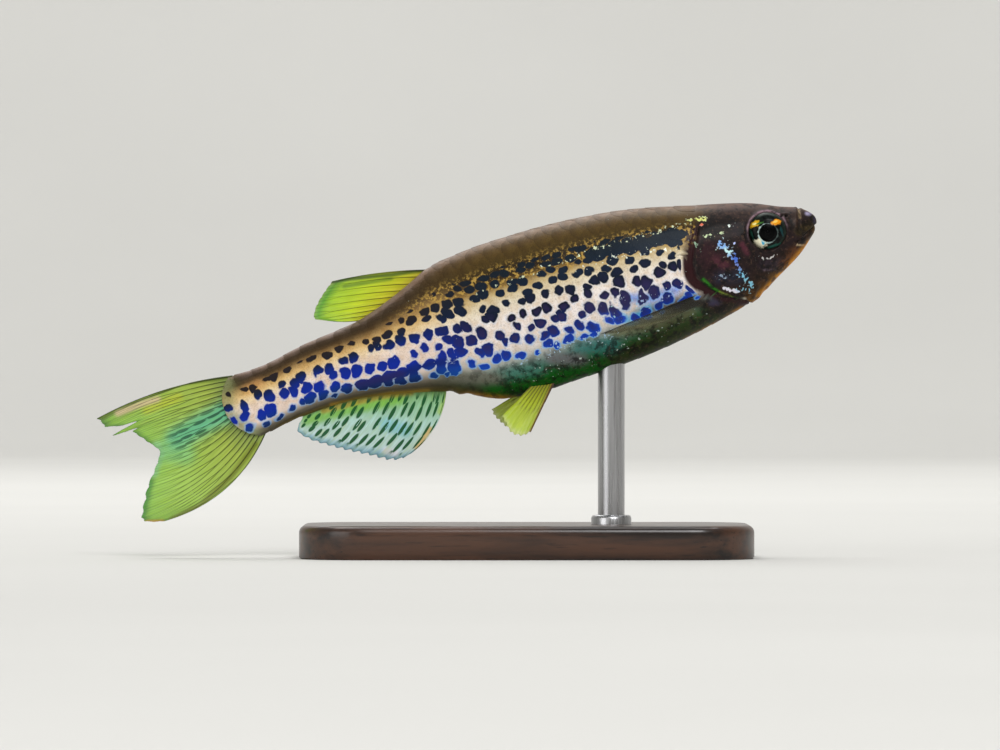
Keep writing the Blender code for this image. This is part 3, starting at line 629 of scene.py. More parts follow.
def new_finish(name, **constants):
    """A material with constants set on its shader, that shader, and a function that adds nodes to it."""
    made = bpy.data.materials.new(name)
    made.use_nodes = True
    shader = made.node_tree.nodes["Principled BSDF"]
    for socket, value in constants.items():
        feed(shader.inputs[socket.replace("_", " ")], value)

    def add(kind, *values, **settings):
        """Adds a node by the end of its type's name. Its values feed, in order, the inputs that its settings use.
        Maths multiplies and a mix is of colours, unless its settings say otherwise."""
        node = made.node_tree.nodes.new("ShaderNode" + kind)
        for setting, value in (USUAL_SETTINGS.get(kind, {}) | settings).items():
            setattr(node, setting, value)
        for socket, value in zip([socket for socket in node.inputs if socket.enabled], values):
            feed(socket, value)
        return node

    return made, shader, add


def read_note(add, note):
    """The three numbers of a note that the mesh carries."""
    return add("SeparateXYZ", add("Attribute", attribute_name=note).outputs["Vector"]).outputs


PER_MM = 1000.0  # patterns' scales are in millimetres, and Object coordinates in metres


def skin_finish():
    """Danio skin, scaled and wet: to the eye a pearly cream flank closely spotted with blue-black, under an olive
    brown back netted with gold and over a glassy green belly."""
    made, shader, add = new_finish(
        "wet_spotted_fish_skin", IOR=1.36, Specular_IOR_Level=0.2, Coat_Weight=0.05, Coat_Roughness=0.15,
    )
    where = add("TexCoord").outputs["Object"]
    ground = add("Attribute", attribute_name="ground")
    lattice = add("Attribute", attribute_name="lattice").outputs["Vector"]
    reach = add("SeparateXYZ", lattice).outputs["Z"]
    strewn, edges, gold = read_note(add, "amount")
    along, across, mottle = read_note(add, "scale")
    halo, specks, cores = read_note(add, "tone")
    fine = add("TexNoise", where, PER_MM / 0.2, 3.0, 0.65)
    grain = add("TexNoise", where, PER_MM / 0.08, 2.0)
    cloud = add("TexNoise", where, PER_MM / 0.55, 4.0, 0.65)

    # the dark mottling of the head and the belly, and the dark specks and soft clouds in the pale skin
    coats = (  # the noise, where a coat starts and is full, its strength, where it lies, its colour and its blend
        (cloud, 0.53, 0.4, 0.8, mottle, "#0c0a0a", "MIX"),
        (fine, 0.55, 0.68, 0.4, mottle, "#5e4638", "MIX"),
        (grain, 0.5, 0.7, 0.35, specks, "#8c7c70", "MULTIPLY"),
        (cloud, 0.4, 0.62, 0.5, specks, "#dcc8a4", "MULTIPLY"),
    )
    body = ground
    for noise, start, full, strength, area, code, blend in coats:
        share = add("Math", add("MapRange", noise, start, full, 0.0, strength), area)
        body = add("Mix", share, body, code, blend_type=blend)
    # the scales' dark rear edges on the back
    rim = add("Math", add("Math", across, 6.0, operation="POWER"), along, operation="MAXIMUM")
    rim = add("MapRange", rim, 0.6, 0.98, 0.0, 0.4, interpolation_type="SMOOTHSTEP")
    rim = add("Math", rim, edges)
    body = add("Mix", rim, body, "#30230f")

    # spots: cells of a loose lattice, each of its own size, ragged, that run together where they come close
    bent = lattice
    for size, amount in ((0.9, 0.6), (0.42, 0.35)):  # rows sway, and spots have lobes
        sway = add("TexNoise", where, PER_MM / size, 1.0).outputs["Color"]
        sway = add("VectorMath", sway, (0.5, 0.5, 0.5), operation="SUBTRACT")
        bent = add("VectorMath", sway, (amount, amount, 0.0), bent, operation="MULTIPLY_ADD")
    cells = add(
        "TexVoronoi", bent, 1.0, 0.0, 0.5, 2.0, 0.1, 0.7, voronoi_dimensions="2D", feature="SMOOTH_F1",
    )
    size = add("MapRange", add("SeparateColor", cells.outputs["Color"]), 0.0, 1.0, -0.1, 0.07)
    reach = add("Math", reach, size, operation="ADD")
    reach = add("Math", fine, 0.12, reach, operation="MULTIPLY_ADD")
    reach = add("Math", reach, cells.outputs["Distance"], operation="SUBTRACT")
    ring = add("MapRange", reach, -0.02, 0.12, interpolation_type="SMOOTHSTEP")
    ring = add("Math", ring, halo)
    body = add("Mix", add("Math", ring, 0.65), body, "#5cb0f8")
    ink = add("Attribute", attribute_name="ink")
    core = add("Math", add("MapRange", reach, 0.22, 0.4, 0.0, 0.8), cores)
    ink = add("Mix", core, ink, "#2c2450")
    spot = add("MapRange", reach, 0.11, 0.2, interpolation_type="SMOOTHSTEP")
    # gold lies between the spots of the upper rows in broken lines
    lode = add("Math", add("MapRange", fine, 0.5, 0.6), gold)
    body = add("Mix", add("Math", lode, 0.85), body, "#bc9848")
    body = add("Mix", spot, body, ink)

    # bright flecks, strewn where the noise and the amount together pass a threshold
    strewn = add("Math", strewn, 0.5, add("TexNoise", where, PER_MM / 0.19, 2.0), operation="MULTIPLY_ADD")
    fleck = add("MapRange", strewn, 0.77, 0.83)
    body = add("Mix", fleck, body, add("Attribute", attribute_name="fleck"))
    feed(shader.inputs["Base Color"], body)
    feed(shader.inputs["Metallic"], add("Math", fleck, 0.5))
    rough = add("MapRange", cloud, 0.3, 0.7, 0.32, 0.46)
    dull = add("Math", mottle, spot, operation="MAXIMUM")
    feed(shader.inputs["Roughness"], add("Math", dull, 0.18, rough, operation="MULTIPLY_ADD"))
    growth = add("Math", add("Math", along, 2 * math.pi / 0.055), operation="SINE")
    relief = add("Math", growth, 0.15, fine, operation="MULTIPLY_ADD")
    feed(shader.inputs["Normal"], add("Bump", 0.3, 0.00003, None, relief))
    return made


def eye_finish():
    """A wet fish eye: a black pupil in a thin silver ring, and a dark iris with flakes of gold and cream."""
    made, shader, add = new_finish(
        "wet_fish_eye", Roughness=0.3, IOR=1.36, Specular_IOR_Level=0.12, Coat_Roughness=0.02, Coat_IOR=1.33,
    )
    where = add("TexCoord").outputs["Object"]
    flat = add("Attribute", attribute_name="iris").outputs["Vector"]
    ahead, _, radius = add("SeparateXYZ", flat).outputs
    pupil_radius = add("VectorMath", flat, (0.0, PUPIL_DROP, 0.0), operation="ADD")
    pupil_radius = add("VectorMath", pupil_radius, (1.0, 1.0, 0.0))
    pupil_radius = add("VectorMath", pupil_radius, operation="LENGTH")
    wave = add("TexNoise", where, PER_MM / 0.2, 2.0)
    iris = add("Mix", add("MapRange", wave, 0.4, 0.65), "#060709", "#141c18")
    rim = add("MapRange", radius, 0.92, 1.1)
    iris = add("Mix", add("Math", rim, 0.7), iris, "#2b3a30")
    flakes = (  # the place ahead of and above the eye's middle, its reach and its colour
        ((-0.63, 0.63), (0.34, 0.2), "#d8a81e"), ((-0.6, 0.66), (0.14, 0.08), "#f0e290"),
        ((0.65, 0.36), (0.32, 0.18), "#e8941a"), ((0.6, 0.4), (0.14, 0.07), "#f4cc60"),
        ((-0.66, -0.56), (0.42, 0.34), "#f4eed0"), ((-0.45, -0.55), (0.1, 0.18), "#3cb0d8"),
        ((-0.93, 0.1), (0.06, 0.35), "#1e4438"), ((0.1, -0.94), (0.45, 0.08), "#1c4a40"),
        ((-0.3, 0.6), (0.22, 0.06), "#3c6a30"), ((0.8, -0.3), (0.08, 0.3), "#18383a"),
    )
    for (x, y), (wide, high), code in flakes:
        away = add("VectorMath", flat, (x, y, 0.0), operation="SUBTRACT")
        away = add("VectorMath", away, (1 / wide, 1 / high, 0.0))
        away = add("Math", wave, -1.6, add("VectorMath", away, operation="LENGTH"), operation="MULTIPLY_ADD")
        iris = add("Mix", add("MapRange", away, 0.3, -0.05), iris, code)
    from_ring = add("Math", pupil_radius, PUPIL_RADIUS + 0.05, operation="SUBTRACT")
    from_ring = add("Math", from_ring, operation="ABSOLUTE")
    ring = add("Math", from_ring, add("MapRange", wave, 0.35, 0.65, 0.04, -0.02), operation="ADD")
    ring = add("MapRange", ring, 0.065, 0.02)
    ring = add("Math", ring, add("MapRange", ahead, 0.3, -0.35, 0.12, 1.0))
    iris = add("Mix", ring, iris, "#b4ccc8")
    pupil = add("MapRange", pupil_radius, PUPIL_RADIUS + 0.015, PUPIL_RADIUS - 0.015)
    feed(shader.inputs["Base Color"], add("Mix", pupil, iris, "#000001"))
    feed(shader.inputs["Coat Weight"], add("Mix", pupil, 0.14, 0.05, data_type="FLOAT"))
    return made


def film_finish(name, alpha, dashes=(0.0, 1.0), dash="#0d5a2c"):
    """Fin skin: a film thinner than paper, stretched between the rays, clear and tinted. dashes is how strongly
    its cells are dashed with dark strokes, and how many to a ray."""
    made, shader, add = new_finish(name, Roughness=0.38, IOR=1.36, Specular_IOR_Level=0.4)
    where = add("Attribute", attribute_name="fin").outputs["Vector"]
    ray, along, strength = add("SeparateXYZ", where).outputs
    paint = add("Attribute", attribute_name="paint")
    # painted light: the film is dimmed by a pale green multiply in noise blotches, and a soft pale glow is painted
    # over their middles, as light shining through it
    stripes = add("TexNoise", add("VectorMath", where, (3.5, 3.0, 0.0)), 1.0, 2.0)
    lit = add("MapRange", stripes, 0.35, 0.65, 0.0, 0.5)
    body = add("Mix", lit, paint, "#b8c890", blend_type="MULTIPLY")
    glow = add("MapRange", stripes, 0.56, 0.68, 0.0, 0.5)
    body = add("Mix", glow, body, "#f4f6c8", blend_type="SOFT_LIGHT")
    # a dash is an ellipse round the middle of each cell of a lattice of rays and steps along them
    steps = add("VectorMath", where, (1.0, dashes[1], 0.0))
    cells = add("TexVoronoi", steps, 1.0, 0.0, 0.5, 2.0, 0.55, voronoi_dimensions="2D")
    away = add("VectorMath", steps, cells.outputs["Position"], operation="SUBTRACT")
    away = add("VectorMath", away, (2.5, 1.25, 0.0))
    ragged = add("Math", stripes, 0.25, add("VectorMath", away, operation="LENGTH"), operation="MULTIPLY_ADD")
    stroke = add("MapRange", ragged, 0.78, 0.62)
    stroke = add("Math", add("Math", stroke, strength), dashes[0])
    body = add("Mix", stroke, body, dash)
    feed(shader.inputs["Base Color"], body)
    thin = add("MapRange", along, 0.1, 1.0, alpha, alpha - 0.14)
    feed(shader.inputs["Alpha"], add("Math", stroke, 0.3, thin, operation="MULTIPLY_ADD", use_clamp=True))
    return made


def ray_finish():
    """Fin rays: slips of clear bone in joints a quarter of a millimetre long, tinted by the skin over them."""
    made, shader, add = new_finish("fin_rays", Roughness=0.35, IOR=1.4, Specular_IOR_Level=0.4)
    ray, _, length = read_note(add, "fin")
    shift = add("Math", ray, 57.0)
    joints = add("Math", length, 2 * math.pi / 0.25, shift, operation="MULTIPLY_ADD")
    gap = add("MapRange", add("Math", joints, operation="SINE"), 0.5, 0.95, 0.0, 0.35)
    paint = add("Attribute", attribute_name="paint").outputs["Color"]
    body = add("Mix", gap, paint, add("VectorMath", paint, None, None, 2.2, operation="SCALE"))
    feed(shader.inputs["Base Color"], body)
    return made


def wood_finish():
    """Dark stained walnut under satin lacquer: fine streaked grain along its length, and small open pores."""
    made, shader, add = new_finish("stained_walnut", Coat_Weight=0.4, Coat_Roughness=0.16, Specular_IOR_Level=0.4)
    where = add("TexCoord").outputs["Object"]
    grain = add("TexNoise", add("Mapping", where, None, None, (90.0, 900.0, 900.0)), 1.0, 5.0, 0.6)
    pores = add("TexNoise", add("Mapping", where, None, None, (420.0, 5200.0, 5200.0)), 1.0, 2.0)
    wood = add("Mix", add("MapRange", grain, 0.36, 0.62), "#1c100a", "#4c2f1e")
    wood = add("Mix", add("MapRange", pores, 0.6, 0.7, 0.0, 0.6), wood, "#0e0805")
    feed(shader.inputs["Base Color"], wood)
    feed(shader.inputs["Roughness"], add("MapRange", grain, 0.3, 0.7, 0.3, 0.48))
    feed(shader.inputs["Normal"], add("Bump", 0.2, 0.00004, None, grain))
    return made


def steel_finish():
    """Drawn stainless steel rod: fine lines along its length and a soft sheen."""
    made, shader, add = new_finish("drawn_stainless_steel", Metallic=1.0)
    where = add("TexCoord").outputs["Object"]
    lines = add("TexNoise", add("Mapping", where, None, None, (9000.0, 9000.0, 160.0)), 1.0, 2.0)
    feed(shader.inputs["Base Color"], add("Mix", lines, "#9a9a9c", "#c9c9cb"))
    feed(shader.inputs["Roughness"], add("MapRange", lines, 0.3, 0.7, 0.22, 0.38))
    return made


def sweep_finish():
    """Matt white paper with the faintest mottle."""
    made, shader, add = new_finish("matt_paper_sweep", Roughness=0.9, Specular_IOR_Level=0.2)
    mottle = add("TexNoise", add("TexCoord").outputs["Object"], 12.0, 3.0)
    feed(shader.inputs["Base Color"], add("Mix", mottle, "#c5c4c0", "#cecdc9"))
    return made


# The skin and its scales.


def ring_places(count):
    """Places of the skin's rings along the body: closest at the snout, close over the head, wider behind it."""
    fine = np.linspace(0, FLESH_END, 6000)
    density = 5.2 + 8.5 * (1 - smooth(8.2, 10.5, fine)) + 60 * np.exp(-fine / 0.06) + 6 * smooth(35.6, 36.2, fine)
    total = np.concatenate([[0], np.cumsum((density[1:] + density[:-1]) / 2 * np.diff(fine))])
    return np.interp(np.linspace(0, total[-1], count), total, fine)


def head_relief(back, up, behind_gill):
    """How far the head's features stand out of the smooth head: the sum of a bell or a smooth step for each of
    them, by its distance in the side view."""
    to_mouth = distance_to(back, up, MOUTH_LINE)
    relief = 0.05 * bell(to_mouth - 0.2, 0.13) - 0.09 * bell(to_mouth, 0.05)
    to_lip = distance_to(back, up, LIP_GROOVE)
    relief = relief - 0.06 * bell(to_lip, 0.06) + 0.03 * bell(to_lip - 0.16, 0.08)
    for line, out, width in HEAD_CREASES:
        relief = relief + out * bell(distance_to(back, up, line), width)
    for place in NOSTRILS:
        away = np.hypot(back - place[0], up - place[1])
        relief = relief + 0.04 * bell(away - 0.15, 0.06) - 0.16 * bell(away, 0.08)
    from_eye = np.hypot(back - EYE_BACK, up - EYE_UP)
    relief = relief + 0.06 * bell(from_eye - EYE_RADIUS - 0.1, 0.1)
    relief = relief - 0.62 * smooth(EYE_RADIUS + 0.03, EYE_RADIUS - 0.16, from_eye)
    cover = smooth(-1.6, -0.1, behind_gill) * smooth(0.03, -0.04, behind_gill) * smooth(2.3, 1.2, up)
    relief = relief + 0.08 * cover - 0.08 * bell(behind_gill - 0.07, 0.07) * smooth(2.6, 1.6, up)
    below_cover = smooth(-2.2, -2.9, up) * smooth(3.5, 4.2, back)
    folds = np.sin(distance_to(back, up, COVER_LINE) * 2 * math.pi / 0.32)
    return relief + 0.02 * below_cover * folds


def body_relief(back, up):
    """Small forms of the trunk and tail: the shoulder, the vent's knob and the low walls at the roots of the fins."""
    relief = 0.05 * bell(back - 8.6, 0.5) * smooth(1.8, -0.5, up)
    relief = relief + 0.2 * bell(np.hypot((back - 23.45) / 1.3, up + 3.2), 0.3)
    on_back = smooth(22.6, 23.2, back) * smooth(28.0, 27.2, back)
    relief = relief + 0.08 * bell(up - back_height(back), 0.35) * on_back
    on_belly = smooth(23.7, 24.4, back) * smooth(33.4, 32.4, back)
    return relief + 0.1 * bell(up - belly_height(back), 0.35) * on_belly


SKIN_RINGS, SKIN_SIDES = 300, 324


def make_skin(finish):
    """One closed skin from snout to tail: the smooth body, moved along its normal by the head's and the body's
    relief, and a little inwards under the scales."""
    back = ring_places(SKIN_RINGS + 1)[1:, None]
    turn = full_turn(SKIN_SIDES)[None, :] + 0 * back
    back = back + end_shift(turn) * smooth(0.9, 1.0, back / FLESH_END)
    base = body_point(back, turn)
    up = base[..., 2]
    behind_gill = back - gill_edge(up)
    relief = head_relief(back, up, behind_gill) * smooth(9.5, 8.2, back) * smooth(0.0, 0.12, back)
    relief = relief + body_relief(back, up) - SKIN_INSET * smooth(0.2, 0.5, behind_gill)
    points = base + body_normal(back, turn) * relief[..., None]
    notes = skin_notes(back, turn, up, 0 * back, 0 * back)
    points = np.concatenate([points.reshape(-1, 3), [[0.0, 0.0, 0.0]], [points[-1].mean(axis=0)]])
    for name, values in notes.items():
        notes[name] = np.concatenate([values.reshape(-1, 3), [values[0].mean(axis=0)], [values[-1].mean(axis=0)]])
    skin = make_piece("fish_skin", to_world(points), tube_faces(SKIN_RINGS, SKIN_SIDES), finish, "skin", **notes)
    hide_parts("head", "trunk", "tail_stalk", "gill_cover_right", "gill_cover_left")


def scale_places():
    """The lattice of scales on one side: rows a fixed distance apart round the body, every other row half a pitch
    back. It gives each scale's root along the body, and its row's distance from the widest height."""
    row, column = np.meshgrid(np.arange(-SCALE_ROWS, SCALE_ROWS + 1), np.arange(SCALE_COLUMNS), indexing="ij")
    back = FIRST_SCALE + SCALE_PITCH * (column + 0.5 * (row % 2))
    girth = SCALE_ROW * row
    middle = back + SCALE_LENGTH * 0.6
    on_body = np.abs(girth_share(middle, girth)) < 1.03
    turn = turn_at(middle, girth)
    up = body_point(middle, turn)[..., 2]
    kept = on_body & (back - gill_edge(up) > -0.25) & (back + SCALE_LENGTH < FLESH_END + end_shift(turn))
    return back[kept], girth[kept]


def make_scales(word, side, finish):
    """The scales of one side as thin overlapping plates. Each is a grid whose rear edge is round: its rows run from
    its sunk root to its free edge, which stands a little off the body, and its columns run across it."""
    root, row = scale_places()
    count = len(root)
    rows, columns = SCALE_GRID
    across = np.linspace(-1, 1, columns)[None, None, :]
    down = np.linspace(0, 1, rows)[None, :, None]
    vary = rng.uniform(-1, 1, (3, count))[:, :, None, None]
    along = down * (0.42 + 0.58 * np.sqrt(1 - (across * 0.995) ** 2))
    back = root[:, None, None] + SCALE_LENGTH * (1 + 0.04 * vary[0]) * along + 0.03 * vary[1]
    girth = row[:, None, None] + SCALE_HALF_WIDTH * across * (1 - 0.06 * along) + 0.02 * vary[2]
    turn = turn_at(back, girth)
    lift = -SCALE_SUNK + (SCALE_LIFT + SCALE_SUNK) * along**0.6 + 0.004 * (1 - across**2)
    base = body_point(back, turn)
    top = base + body_normal(back, turn) * lift[..., None]
    bottom = top - body_normal(back, turn) * SCALE_THICKNESS
    points = np.stack([top, bottom], axis=1) * (1, -side, 1)
    turn = turn if side < 0 else 2 * math.pi - turn
    notes = skin_notes(back, turn, base[..., 2], along + 0 * back, np.abs(across) + 0 * back)
    notes = {name: np.stack([values, values], axis=1) for name, values in notes.items()}
    faces = repeated(plate_faces(rows, columns), count, 2 * rows * columns)
    scales = make_piece("scales_" + word, to_world(points), faces, finish, "skin", **notes)
    scales.data.set_sharp_from_angle(angle=RIM_ANGLE)


def make_barbels(finish):
    """Two pairs of feelers, each a tapering rod along a smooth path, with its root inside the head."""
    paths = (
        ((1.2, 0.75, -0.85), (1.5, 1.2, -1.02), (1.9, 1.5, -1.4), (2.3, 1.62, -1.9)),
        ((1.0, 0.4, 0.55), (0.85, 0.85, 0.65), (0.88, 1.14, 0.45), (1.1, 1.34, 0.12)),
    )
    shares = np.linspace(0, 1, 24)
    middles = np.array([
        line_through([(-back, side * out, up) for back, out, up in path])(shares)
        for path in paths for side in (-1, 1)
    ])
    radii = np.broadcast_to(BARBEL_RADIUS * (1 - 0.6 * shares), middles.shape[:2])
    back, up = -middles[..., 0], middles[..., 2]
    notes = skin_notes(back, 0 * back + 1.5, up, 0 * back, 0 * back)
    make_tubes("barbels", middles, radii, np.array([0.0, 0.02, 1.0]), finish, "skin", 12, **notes)


def make_eye(word, side, finish):
    """A flattened ball turned about the eye's axis, with a slightly domed lens in the middle. Its profile is an
    ellipse from the outer pole to the inner one, raised over the pupil and lowered in a ring round it."""
    sides = 96
    rise = np.concatenate([np.linspace(0, 0.62, 26)[1:], np.linspace(0.62, math.pi, 30)[1:-1]])[:, None]
    turn = full_turn(sides)[None, :]
    radius = EYE_RADIUS * np.sin(rise)
    outer = rise < 1.5
    out = EYE_DEPTH * np.cos(rise) + LENS_RISE * smooth(PUPIL_RADIUS + 0.04, PUPIL_RADIUS - 0.1, radius) * outer
    out = out - 0.02 * bell(radius - PUPIL_RADIUS - 0.06, 0.05) * outer
    ahead, up = radius * np.cos(turn), radius * np.sin(turn)
    poles = [[0, side * (EYE_DEPTH + LENS_RISE), 0], [0, -side * EYE_DEPTH, 0]]
    points = np.concatenate([stacked(ahead, side * out, up).reshape(-1, 3), poles])
    points = points + (-EYE_BACK, side * EYE_OUT, EYE_UP)
    iris = np.concatenate([stacked(ahead, up, radius).reshape(-1, 3), [[0, 0, 0], [0, 0, EYE_RADIUS]]])
    faces = tube_faces(len(rise), sides)
    piece = make_piece("eyeball_" + word, to_world(points), faces, finish, "eye", iris=iris)
    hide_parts("eye_" + word)


# The fins.


def flat_line(points):
    """A line in the fish's middle plane through (back, up) points."""
    return line_through([(-back, 0, up) for back, up in points])


def along_profile(height, first, last, lift, crowding=1.0):
    """A root line that follows the back or the belly from one place to another. A crowding over 1 sets the first
    rays closer together."""
    def place(t):
        back = first + (last - first) * t**crowding
        return stacked(-back, 0, height(back) + lift)

    return place


def fan_shape(root, tips, bow=(0.0, 0.0), wave=0.0, out=(0, 1, 0)):
    """shape(t, s) of a fin: straight from root(t) to tips(t), bowed sideways in its plane by 4s(1 - s), and swayed
    out of it by a sine of t that grows towards the tips."""
    out = np.array(out, float)

    def shape(t, s):
        start, end = root(t), tips(t)
        sideways = unit(np.cross(out, unit(end - start)))
        bend = (bow[0] * (1 - t) + bow[1] * t) * 4 * s * (1 - s)
        sway = wave * np.sin(math.pi * t * 1.6) * s**1.5
        return start + (end - start) * s[..., None] + sideways * bend[..., None] + out * sway[..., None]

    return shape


def scalloped(rays, depth, ragged=0.0, seed=1):
    """How far the film reaches towards the ray tips: 1 at each ray, less between, with small seeded nicks."""
    nicks = np.random.default_rng(seed).uniform(0, 1, rays * 6)

    def margin(t):
        between_rays = np.sin(math.pi * ((t * (rays - 1)) % 1)) ** 2
        nick = np.interp(t, np.linspace(0, 1, len(nicks)), nicks)
        return 1 - (depth + ragged * nick) * between_rays

    return margin


FILM_COLUMNS, FILM_ROWS = 8, 64  # points from ray to ray, and from root to margin


def make_film(name, node, shape, rays, margin, paint, finish):
    """The film of a fin: a closed plate between rays and edges, as thick as half its thinning from root to margin,
    and pleated a little by the cosine of the place between two rays."""
    columns, rows = (rays - 1) * FILM_COLUMNS + 1, FILM_ROWS
    t = np.linspace(0, 1, columns)[None, :] + np.zeros((rows, 1))
    share = np.linspace(0, 1, rows)[:, None] + 0 * t
    s = share * margin(t)
    step = 1e-3
    across = shape(np.minimum(t + step, 1), s) - shape(np.maximum(t - step, 0), s)
    along = shape(t, np.minimum(s + step, 1)) - shape(t, np.maximum(s - step, 0))
    face = unit(np.cross(along, across))
    pleat = -0.015 * (1 - np.cos(2 * math.pi * t * (rays - 1))) * (1 - 0.6 * s)
    half = (0.01 + 0.012 * (1 - s) ** 2) * np.clip((1 - share) * 12 + 0.2, 0, 1)
    middle = shape(t, s) + face * pleat[..., None]
    points = np.stack([middle + face * half[..., None], middle - face * half[..., None]])
    colours, dashes = paint(t, share, middle)
    notes = {"fin": stacked(t * (rays - 1), share, dashes), "paint": colours}
    notes = {note: np.stack([values, values]) for note, values in notes.items()}
    film = make_piece(name + "_film", to_world(points), plate_faces(rows, columns), finish, "fin", **notes)
    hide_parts(node)


def make_rays(name, shape, rays, margin, paint, finish, size, forks_at, shade):
    """The rays of a fin as tapering rods. Each forks at two shares of its length into 2 and then 4, which part
    smoothly by a quarter and an eighth of the space to the next ray. shade darkens or lightens the fin's paint."""
    shares = np.linspace(0, 1, 20)
    home = np.linspace(0, 1, rays)[:, None, None]
    lines = []
    for forks, start, end in ((1, 0.0, forks_at[0]), (2, *forks_at), (4, forks_at[1], 1.0)):
        run = start + (end - start) * shares
        number = np.arange(forks)[:, None]
        part = 0.24 * np.sign(number - (forks - 1) / 2) * smooth(forks_at[0], forks_at[0] + 0.25, run)
        if forks == 4:
            part = part + 0.12 * np.where(number % 2 == 0, -1, 1) * smooth(forks_at[1], forks_at[1] + 0.25, run)
        t = np.clip(home + part[None] / (rays - 1), 0, 1)
        s = np.broadcast_to(run, t.shape) * np.minimum(margin(t) * 1.005, 1)
        radius = size * (1 - 0.65 * run) / forks**0.35 * (1 + 0.5 * (home < 0.01))
        lines.append([values.reshape(-1, len(run)) for values in np.broadcast_arrays(t, s, radius)])
    t, s, radius = (np.concatenate(values) for values in zip(*lines))
    middles = shape(t, s)
    lengths = np.linalg.norm(middles - shape(t, 0 * s), axis=-1)
    colours = np.clip(paint(t, s, middles)[0] * (shade * (0.6 + 0.7 * s))[..., None], 0, 0.9)
    out = np.array([0.0, 1.0, 0.01])
    make_tubes(name + "_rays", middles, radius, out, finish, "fin", fin=stacked(t, s, lengths), paint=colours)


def make_fin(name, node, shape, rays, margin, paint, film, bone, **look):
    """A fin's film and then its rays, with the look of the rays: their size, where they fork and their shade."""
    make_film(name, node, shape, rays, margin, paint, film)
    make_rays(name, shape, rays, margin, paint, bone, **look)


def painter(stops, washes, dashes=None):
    """A fin's paint(t, s, places): its ramp from root to margin under its washes, and how strong its dashes are."""
    def paint(t, s, places):
        back, up = -places[..., 0], places[..., 2]
        strength = dashes(back, up, s) if dashes else 0 * s
        return washed(ramp(stops, s), back, up, washes), strength

    return paint


DORSAL_ROOT = (22.95, 27.5)
DORSAL_TIPS = ((28.6, 5.5), (29.2, 5.08), (29.75, 4.62), (30.2, 4.05), (30.3, 3.75), (29.9, 3.5), (29.3, 3.22))
DORSAL_COLOURS = (
    (0.0, "#b8a01c"), (0.15, "#d0cc1c"), (0.5, "#cfe41c"), (0.82, "#b4dc20"), (0.94, "#6cb01c"), (1.0, "#c8d880"),
)
DORSAL_WASHES = (
    (((22.9, 4.4), (25.0, 4.75), (27.5, 5.32), (28.6, 5.5)), 0.14, "#46640e", 0.9),
    (((25.2, 4.55), (28.0, 5.0)), 0.12, "#5f8a14", 0.7),
    (((28.9, 5.2), (29.9, 4.3), (30.2, 3.8)), 0.22, "#58ac18", 0.6),
)
ANAL_ROOT = (24.15, 32.7)
ANAL_TIPS = (
    (27.35, -5.72), (28.0, -5.84), (28.6, -5.72), (29.7, -5.06), (31.0, -4.3), (32.05, -3.6), (32.9, -2.95),
    (33.35, -2.3), (33.1, -1.9),
)
ANAL_CROWDING = 1.4
DORSAL_RAYS, ANAL_RAYS, TAIL_RAYS = 9, 16, 19
ANAL_COLOURS = (
    (0.0, "#7cae62"), (0.2, "#9ccfa4"), (0.45, "#bfe4dc"), (0.85, "#cce6e6"), (0.95, "#9cc4d4"), (1.0, "#5c8ca0"),
)
ANAL_WASHES = (
    (((32.6, -1.9), (29.5, -2.1), (27.0, -2.4)), 0.4, "#86c84a", 0.85),
    (((31.5, -1.65), (28.2, -1.9), (26.2, -2.25)), 0.2, "#b89a38", 0.8),
    (((28.2, -3.6), (27.2, -4.3)), 0.45, "#74cdec", 0.55),
    (((26.9, -5.5), (25.8, -4.7)), 0.16, "#e8c070", 0.85),
    (((24.1, -3.0), (24.9, -3.9)), 0.2, "#b4d85c", 0.7),
    (((28.2, -5.4), (28.7, -5.1)), 0.22, "#f2e6ee", 0.6),
)
TAIL_FIN_ROOT = ((36.0, 1.98), (36.6, 1.1), (36.8, 0.2), (36.7, -0.7), (36.1, -1.4), (35.2, -1.82))
TAIL_FIN_TIPS = (
    (44.48, 2.12), (44.26, 1.74), (44.2, 1.5), (43.2, 1.2), (43.95, 0.86), (42.75, 0.74), (42.45, 0.36),
    (42.1, -0.1), (41.72, -0.57), (41.52, -0.9), (41.72, -1.25), (42.1, -1.75), (42.62, -2.34), (43.1, -3.0),
    (43.5, -3.7), (43.8, -4.3), (43.7, -4.58), (43.2, -4.78), (42.6, -4.94),
)
TAIL_FIN_COLOURS = ((0.0, "#8c9c54"), (0.2, "#b0c450"), (0.7, "#b4dc5c"), (0.93, "#a4d850"), (1.0, "#5c9c30"))
TAIL_FIN_WASHES = (
    (((36.6, 2.1), (39.0, 2.65), (42.0, 2.45), (44.3, 2.15)), 0.24, "#6c8420", 0.85),
    (((41.5, 1.7), (39.5, 1.8)), 0.32, "#cfd838", 0.75),
    (((43.2, 2.02), (41.7, 2.12), (40.7, 2.1)), 0.2, "#f0d6ac", 0.9),
    (((40.3, -0.5), (38.4, -0.1), (37.0, 0.1)), 0.75, "#58c8a4", 0.8),
    (((41.2, -1.0), (40.2, -1.5)), 0.7, "#84dc98", 0.55),
    (((36.0, -2.3), (38.0, -3.7), (40.3, -4.75), (42.1, -5.0)), 0.2, "#7c861c", 0.85),
    (((41.6, -0.5), (41.55, -1.0), (42.3, -2.0)), 0.3, "#a8e8a4", 0.6),
    (((42.7, -2.5), (43.5, -3.8), (43.8, -4.4)), 0.24, "#3c9c1c", 0.75),
    (((43.6, -4.7), (42.7, -4.95)), 0.15, "#f0b43a", 0.95),
)
TAIL_FIN_TEARS = ((3.3, 0.16, 0.3), (4.6, 0.12, 0.25))  # places in rays, depths and widths in rays


